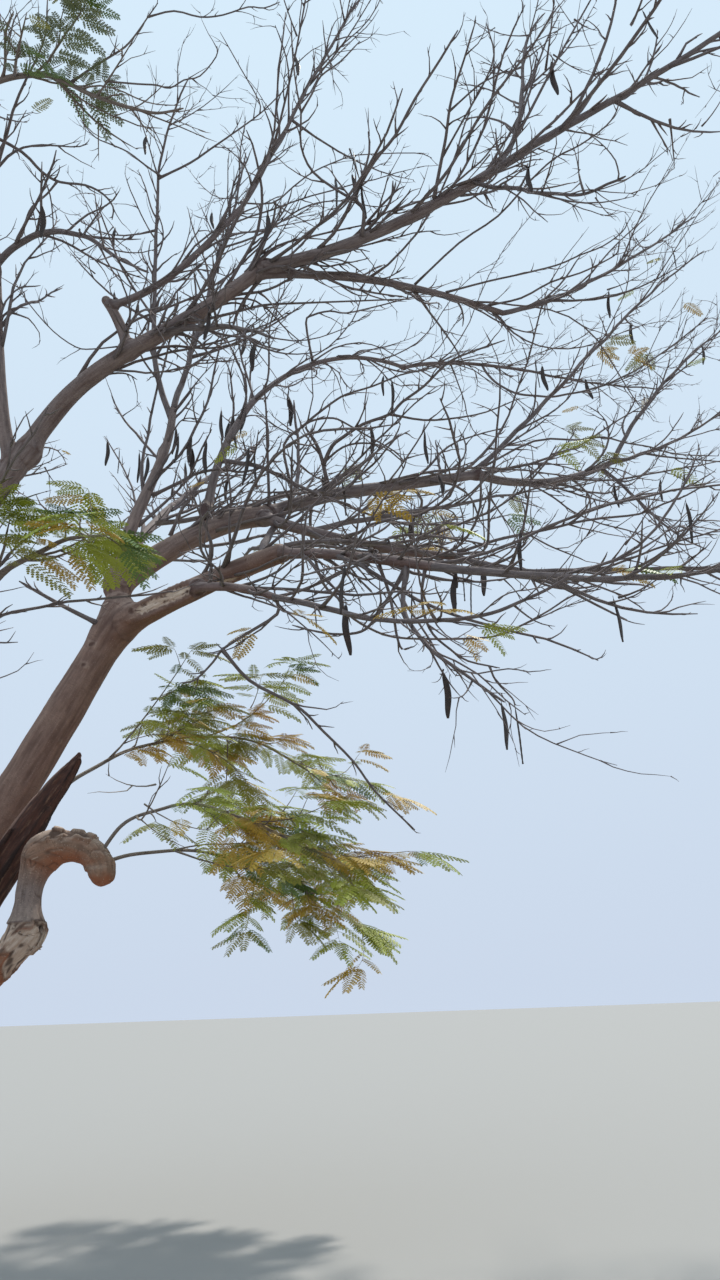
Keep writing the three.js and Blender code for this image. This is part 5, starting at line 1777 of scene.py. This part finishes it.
def leaf_template(seed, droop):
    draw = drawer(seed)
    points, faces, count = [], [], 0
    for pair in range(LEAF_PAIRS):
        share = BARE_STALK + (1 - BARE_STALK) * (pair + 0.5) / LEAF_PAIRS
        for side in (-1, 1):
            place_of, face = side_rib(share, side, droop, draw)
            points.append(place_of)
            faces.append(face + count)
            count += len(place_of)
    rib = np.stack([rib_place(share, droop) for share in np.linspace(0, 1, RIB_STEPS)])[None]
    thin = RIB_RADIUS * np.linspace(*RIB_TAPER, RIB_STEPS)[None]
    tube_points, _, corners, sizes = tubes(rib, thin, 3)
    walls = corners[:(len(sizes) - 2) * 4].reshape(-1, 4)
    ends = corners[(len(sizes) - 2) * 4:].reshape(-1, 3)
    rib_faces = np.vstack((walls[:, (0, 1, 2)], walls[:, (0, 2, 3)], ends))
    return np.vstack([*points, tube_points]), np.vstack([*faces, rib_faces + count])


LEAF_TEMPLATES = [leaf_template(seed, droop) for seed, droop in DROOPS.items()]
print("a leaf:", len(LEAF_TEMPLATES[0][1]), "tris")

# %% Where leaves and pods sit
LEAF_SHARES = (0.94, 0.55, 0.75, 0.35, 0.2)
POD_SHARES = (0.45, 0.7)
LEAF_WIDTH = 0.160
LEAF_HELD = 0.040
LEAF_SEEDS, POD_SEEDS = 977, 1409
LEAF_AHEAD, LEAF_ASIDE, LEAF_FLAT, LEAF_DROOP = (0.35, 0.5), 0.8, 0.4, (0.12, 0.2)
LEAF_REACH = 0.008
POD_LENGTH = 0.400
POD_WIDTH = 0.054
POD_HELD = 0.026
OFF_PLUMB = 0.3


def on_stem(twig, share):
    """How far along the mass's stem the branching leaves that leads to this place"""
    while "parent" in twig:
        share, twig = twig["share"], twig["parent"]
    return share


def spots_of(twigs, shares, limit=1):
    return [(point_at(twig["path"], share), way_at(twig["path"], share))
            for share in shares for twig in twigs if on_stem(twig, share) <= limit]


def leaf_at(spot, index, mass, seed):
    """A leaf as the solids lay it: nearly flat, to one side of its twig, drooping a little"""
    point, way = spot
    draw = drawer(seed * LEAF_SEEDS + index)
    flat = cross(way, UP)
    flat = unit(flat) * (1 if index % 2 == 0 else -1)
    out = way * (LEAF_AHEAD[0] + LEAF_AHEAD[1] * draw()) + flat * LEAF_ASIDE
    out[2] = out[2] * LEAF_FLAT - LEAF_DROOP[0] - LEAF_DROOP[1] * draw()
    out = unit(out)
    across = unit(cross(UP, out))
    across = unit(across + UP * 0.5 * (draw() - 0.5))
    centre = point + out * (LEAF_LENGTH / 2 - LEAF_HELD)
    tip = point + out * (LEAF_LENGTH - LEAF_HELD)
    corners = np.array([tip, centre, centre - across * LEAF_WIDTH / 2, centre + across * LEAF_WIDTH / 2])
    if keeps_to_space(corners, LEAF_REACH, mass):
        return centre, point, out, across
    return None


def pod_at(spot, index, mass, seed):
    """A pod as the solids hang it, a little off plumb"""
    point = spot[0]
    draw = drawer(seed * POD_SEEDS + index)
    out = unit(np.array((OFF_PLUMB * (draw() - 0.5), OFF_PLUMB * (draw() - 0.5), -1.0)))
    across = np.array((math.cos(7 * draw()), math.sin(7 * draw()), 0.0))
    centre = point + out * (POD_LENGTH / 2 - POD_HELD)
    if keeps_to_space(np.array([centre, point + out * POD_LENGTH]), POD_WIDTH / 2, mass):
        return centre, point, out, across
    return None


def dealt_out(spots, count, apart, place_at, mass, seed):
    """Pieces are dealt out to the spots in turn, and one that would lie on another is skipped"""
    laid = []
    for index, spot in enumerate(spots):
        if len(laid) == count:
            break
        piece = place_at(spot, index, mass, seed)
        if piece and all(np.linalg.norm(other[0] - piece[0]) > apart for other in laid):
            laid.append(piece)
    return [(mass, *piece[1:]) for piece in laid]


LEAVES, PODS = [], []  # mass, foot, way, across
for mass, (stem, shoots, twigs) in CARRIERS.items():
    leaves, pods = STEMS[mass][7:9]
    seed = stem["seed"]
    leaf_spots = spots_of([*twigs, *shoots, stem], LEAF_SHARES, LEAFY_TO.get(mass, 1))
    pod_spots = spots_of([*shoots, *twigs], POD_SHARES)
    if mass == "hanging_twigs":
        pod_spots.insert(0, (point_at(stem["path"], 0.98), way_at(stem["path"], 1)))
    LEAVES += dealt_out(leaf_spots, leaves, LEAF_WIDTH, leaf_at, mass, seed)
    PODS += dealt_out(pod_spots, pods, 3 * POD_WIDTH, pod_at, mass, seed)
print("leaves as in the solids:", len(LEAVES), "pods:", len(PODS))

# %% The twig nearest to a pixel of the view
REACH_PIXELS = 14
HANG_SHARES = np.linspace(0.2, 0.95, 9)


def hang_by_pixels(pixels):
    """The twig points nearest to each pixel, in view and not too thick or thin"""
    bearers = [twig for grown in GROWTH.values()
               for level in ("first", "second", "side", "fine", "stem") for twig in grown[level]]
    places = [(twig["path"], share) for twig in bearers for share in HANG_SHARES]
    feet = np.array([point_at(*spot) for spot in places])
    spots, depth = seen_at(feet)
    spots[depth < 1] = -999
    for pixel in pixels:
        far = np.linalg.norm(spots - pixel, axis=1)
        best = int(far.argmin())
        if far[best] < REACH_PIXELS:
            yield feet[best], way_at(*places[best])


# %% More leaves at the ends of the leafy twigs
ROSETTE = 4
ROSETTE_SPREAD = 1.25
ALONG_SPACING = 0.06
BARE_FOOT = 0.22
TIP_SEEDS = (13, 5)
TIP_DRAW, SINGLE_TURNS = 0.3, (0.7, 0.5)
FILLED, HIGHEST_SINGLE = 0.6, 0.93
SINGLE_LIFT = (0.25, 0.05, 0.22)    # with the twig's rise, steady droop, drawn droop
LEAST_LEVEL = 0.2


def turned_leaf(ahead, turn, lift, roll):
    """The way out and the way across of a leaf that turns aside from the way ahead"""
    out = unit(ahead * math.cos(turn) + cross(UP, ahead) * math.sin(turn) + UP * lift)
    return out, unit(cross(UP, out) + UP * roll)


def tip_leaves(twig):
    """A rosette at the tip and single leaves on alternate sides below it"""
    draw = drawer(twig["seed"] * TIP_SEEDS[0] + TIP_SEEDS[1])
    length = path_length(twig["path"])
    for index in range(ROSETTE):
        turn = (index - (ROSETTE - 1) / 2) / ROSETTE * 2 * ROSETTE_SPREAD
        yield 1.0, turn + TIP_DRAW * (draw() - 0.5), draw
    for index in range(int(FILLED * length / ALONG_SPACING)):
        turn = SINGLE_TURNS[0] + SINGLE_TURNS[1] * draw()
        yield HIGHEST_SINGLE - index * ALONG_SPACING / length, (1 if index % 2 else -1) * turn, draw


for mass in LEAFY:
    grown = GROWTH[mass]
    for twig in [twig for level in ("stem", "first", "second", "side", "fine") for twig in grown[level]]:
        for share, turn, draw in tip_leaves(twig):
            if not BARE_FOOT < on_stem(twig, share) < LEAFY_TO.get(mass, 1) + 0.01:
                continue
            way = way_at(twig["path"], share)
            level = math.hypot(way[0], way[1])
            ahead = np.array((way[0], way[1], 0)) / max(level, LEAST_LEVEL)
            lift = SINGLE_LIFT[0] * way[2] - SINGLE_LIFT[1] - SINGLE_LIFT[2] * draw()
            out, across = turned_leaf(ahead, turn, lift, 0.4 * (draw() - 0.5))
            foot = point_at(twig["path"], share)
            tip = foot + out * LEAF_LENGTH
            if within_box(tip[None, None])[0] and tip[2] > LOWEST and \
                    (path_distances(tip[None])[0, :len(LIMBS)] > LIMB_CLEARANCE - LIMB_MARGIN).all():
                LEAVES.append((mass, foot, out, across))
print("leaves:", len(LEAVES))

# %% Sprays that the view shows in the bare crown
SPRAY_PIXELS = pixels_of(
    "596,352 612,346 628,352 645,352 566,425 585,440 600,452 372,497 388,505 405,492 420,512 436,520 "
    "396,530 416,548 280,552 268,548 432,604 446,612 462,632 478,628 616,572 632,566 555,443 340,470 "
    "508,515 250,620 300,616")
SPRAY = 3
SPRAY_TURN = 0.75

for index, (foot, way) in enumerate(hang_by_pixels(SPRAY_PIXELS)):
    draw = drawer(index + 900)
    for leaf in range(SPRAY):
        turn = (leaf - (SPRAY - 1) / 2) * SPRAY_TURN + 0.5 * (draw() - 0.5)
        ahead = unit(np.array((way[0], way[1], 0.0)) + 0.01)
        out, across = turned_leaf(ahead, turn, -0.05 - 0.35 * draw(), 0.5 * (draw() - 0.5))
        if within_box((foot + out * LEAF_LENGTH)[None, None])[0]:
            LEAVES.append(("view", foot, out, across))
print("leaves with the sprays in the bare crown:", len(LEAVES))

# %% Leaf pieces, their colours dealt out by spray
LEAF_COLOURS = {
    "yellow_green_leaves": (0.38, 0.42, 0.045),
    "olive_green_leaves": (0.28, 0.27, 0.045),
    "ochre_leaves": (0.54, 0.35, 0.045),
    "deep_green_leaves": (0.13, 0.21, 0.045),
    "grey_green_leaves": (0.16, 0.19, 0.085),
}
LOW_SHARES = (0.38, 0.22, 0.30, 0.10, 0)
COLOUR_SHARES = {
    "overhanging_foliage": (0.02, 0.22, 0.02, 0.14, 0.60),
    "front_foliage": (0.42, 0.22, 0.28, 0.08, 0),
    "view": (0.12, 0.48, 0.36, 0.04, 0),
}
LEAF_SIZES = (0.50, 0.80)
SPRAY_CELL, CELL_FACTORS = 0.22, (73, 179, 283)


def thin_finish(title, scale, detail, grain_roughness, roughness, bump, distance):
    """A material whose roughness and bump follow one fine noise, given back for its colours"""
    paint, tree, skin = new_material(title)
    fine = noise_of(tree, node(tree, "TexCoord").outputs["Object"], scale, detail, grain_roughness)
    feed(tree, skin["Roughness"], ranged(tree, fine, 0.3, 0.7, *roughness))
    bumped(tree, skin, fine, bump, distance)
    return paint, tree, skin, fine


def leaf_material(title, colour):
    paint, _, skin, _ = thin_finish(title, scale=130, detail=3, grain_roughness=0.5,
                                   roughness=(0.50, 0.72), bump=0.25, distance=0.001)
    skin["Base Color"].default_value = (*colour, 1)
    return paint


def copied(template, foot, out, across, size):
    """A copy for joined_mesh, turned so that its x runs along one way and its y across it"""
    points, faces = template
    side = unit(across - out * (across @ out))
    points = points * size @ np.stack((out, side, np.cross(out, side))) + foot
    return points, points * 0, faces.ravel(), np.full(len(faces), 3)


def colour_of(mass, foot):
    """One colour for each spray: leaves that sit close together share it"""
    cell = sum(math.floor(value / SPRAY_CELL) * factor for value, factor in zip(foot, CELL_FACTORS))
    draw = drawer(abs(cell) + 1)()
    total = 0
    for colour, share in enumerate(COLOUR_SHARES.get(mass, LOW_SHARES)):
        total += share
        if draw < total:
            return colour
    return 1


sprays = [[] for _ in LEAF_COLOURS]
for index, (mass, foot, out, across) in enumerate(LEAVES):
    template = LEAF_TEMPLATES[index % len(LEAF_TEMPLATES)]
    size = lerped(LEAF_SIZES, drawer(index + 1)())
    sprays[colour_of(mass, foot)].append(copied(template, foot, out, across, size))
for (title, colour), parts in zip(LEAF_COLOURS.items(), sprays):
    show(joined_mesh(parts), title, leaf_material(title, colour), "leafy_twigs")

# %% [markdown]
# ## Pods
# The pods are flat woody straps, nearly black, that hang from the bare twigs: a short stalk, two
# thick seams along the edges and a swelling over each seed. One pod is extruded ring by ring, and
# copies hang where the solids have theirs and where the view shows more.

# %% One pod, extruded ring by ring
POD_RINGS = 16
POD_SIDES = 8
POD_THICK = 0.0062
SEEDS = 7
STALK, STALK_RADIUS = 0.035, 0.0022
POD_BEND = 0.020
POD_SIZES = (0.72, 1.05)


def pod_ring(share):
    """The matrix of one ring: its place on the bent strap, its width and its thickness"""
    body = max(0.0, (share - STALK / POD_LENGTH) / (1 - STALK / POD_LENGTH))
    round_ended = math.sin(math.pi * min(body, 0.985)) ** 0.42 * (body > 0)
    wide = STALK_RADIUS + (POD_WIDTH / 2 - STALK_RADIUS) * round_ended
    seeded = 0.72 + 0.28 * math.cos(2 * math.pi * SEEDS * body)
    thick = STALK_RADIUS + (POD_THICK - STALK_RADIUS) * (body > 0) * seeded
    centre = Vector((POD_LENGTH * share, POD_BEND * math.sin(math.pi * share) ** 2, 0))
    turn = Matrix(((0, 0, 1), (wide, 0, 0), (0, thick, 0)))
    return Matrix.Translation(centre) @ turn.to_4x4()


def pod_template():
    bm = extrude_rings([pod_ring(index / POD_RINGS) for index in range(POD_RINGS + 1)], POD_SIDES)
    bmesh.ops.triangulate(bm, faces=bm.faces[:])
    bmesh.ops.recalc_face_normals(bm, faces=bm.faces[:])
    points = np.array([vert.co[:] for vert in bm.verts])
    faces = np.array(sorted([vert.index for vert in face.verts] for face in bm.faces))
    bm.free()
    return points, faces


POD = pod_template()
print("a pod:", len(POD[1]), "tris")

# %% Pods that the view shows, hung from the nearest twig
POD_PIXELS = pixels_of(
    "333,178 352,176 358,180 215,212 222,216 270,212 410,585 455,552 462,556 478,560 535,356 543,362 "
    "550,372 176,424 180,430 186,430 190,436 194,448 184,462 222,408 228,412 236,410 245,402 290,386 "
    "388,374 392,376 373,424 419,428 346,600 342,480 437,474 446,466 662,480 690,500 108,440 121,446 "
    "228,422 515,705 285,396 309,590 454,572 474,576 148,452 137,445 208,440")
for index, (foot, way) in enumerate(hang_by_pixels(POD_PIXELS)):
    draw = drawer(index + 300)
    out = unit(np.array((0.24 * (draw() - 0.5), 0.24 * (draw() - 0.5), -1.0)))
    turn = 6.3 * draw()
    if foot[2] > POD_LENGTH + LOWEST:
        PODS.append(("view", foot, out, np.array((math.cos(turn), math.sin(turn), 0.0))))
print("pods:", len(PODS))


def pod_material():
    paint, tree, skin, fine = thin_finish("black_brown_pod", scale=60, detail=5, grain_roughness=0.6,
                                          roughness=(0.42, 0.66), bump=0.4, distance=0.0015)
    feed(tree, skin["Base Color"], mixed(tree, ranged(tree, fine, 0.35, 0.7), "1f1613", "47362c"))
    return paint


pods = []
for index, (mass, foot, out, across) in enumerate(PODS):
    pods.append(copied(POD, foot, out, across, lerped(POD_SIZES, drawer(index + 700)())))
show(joined_mesh(pods), "hanging_pods", pod_material(), "twigs")
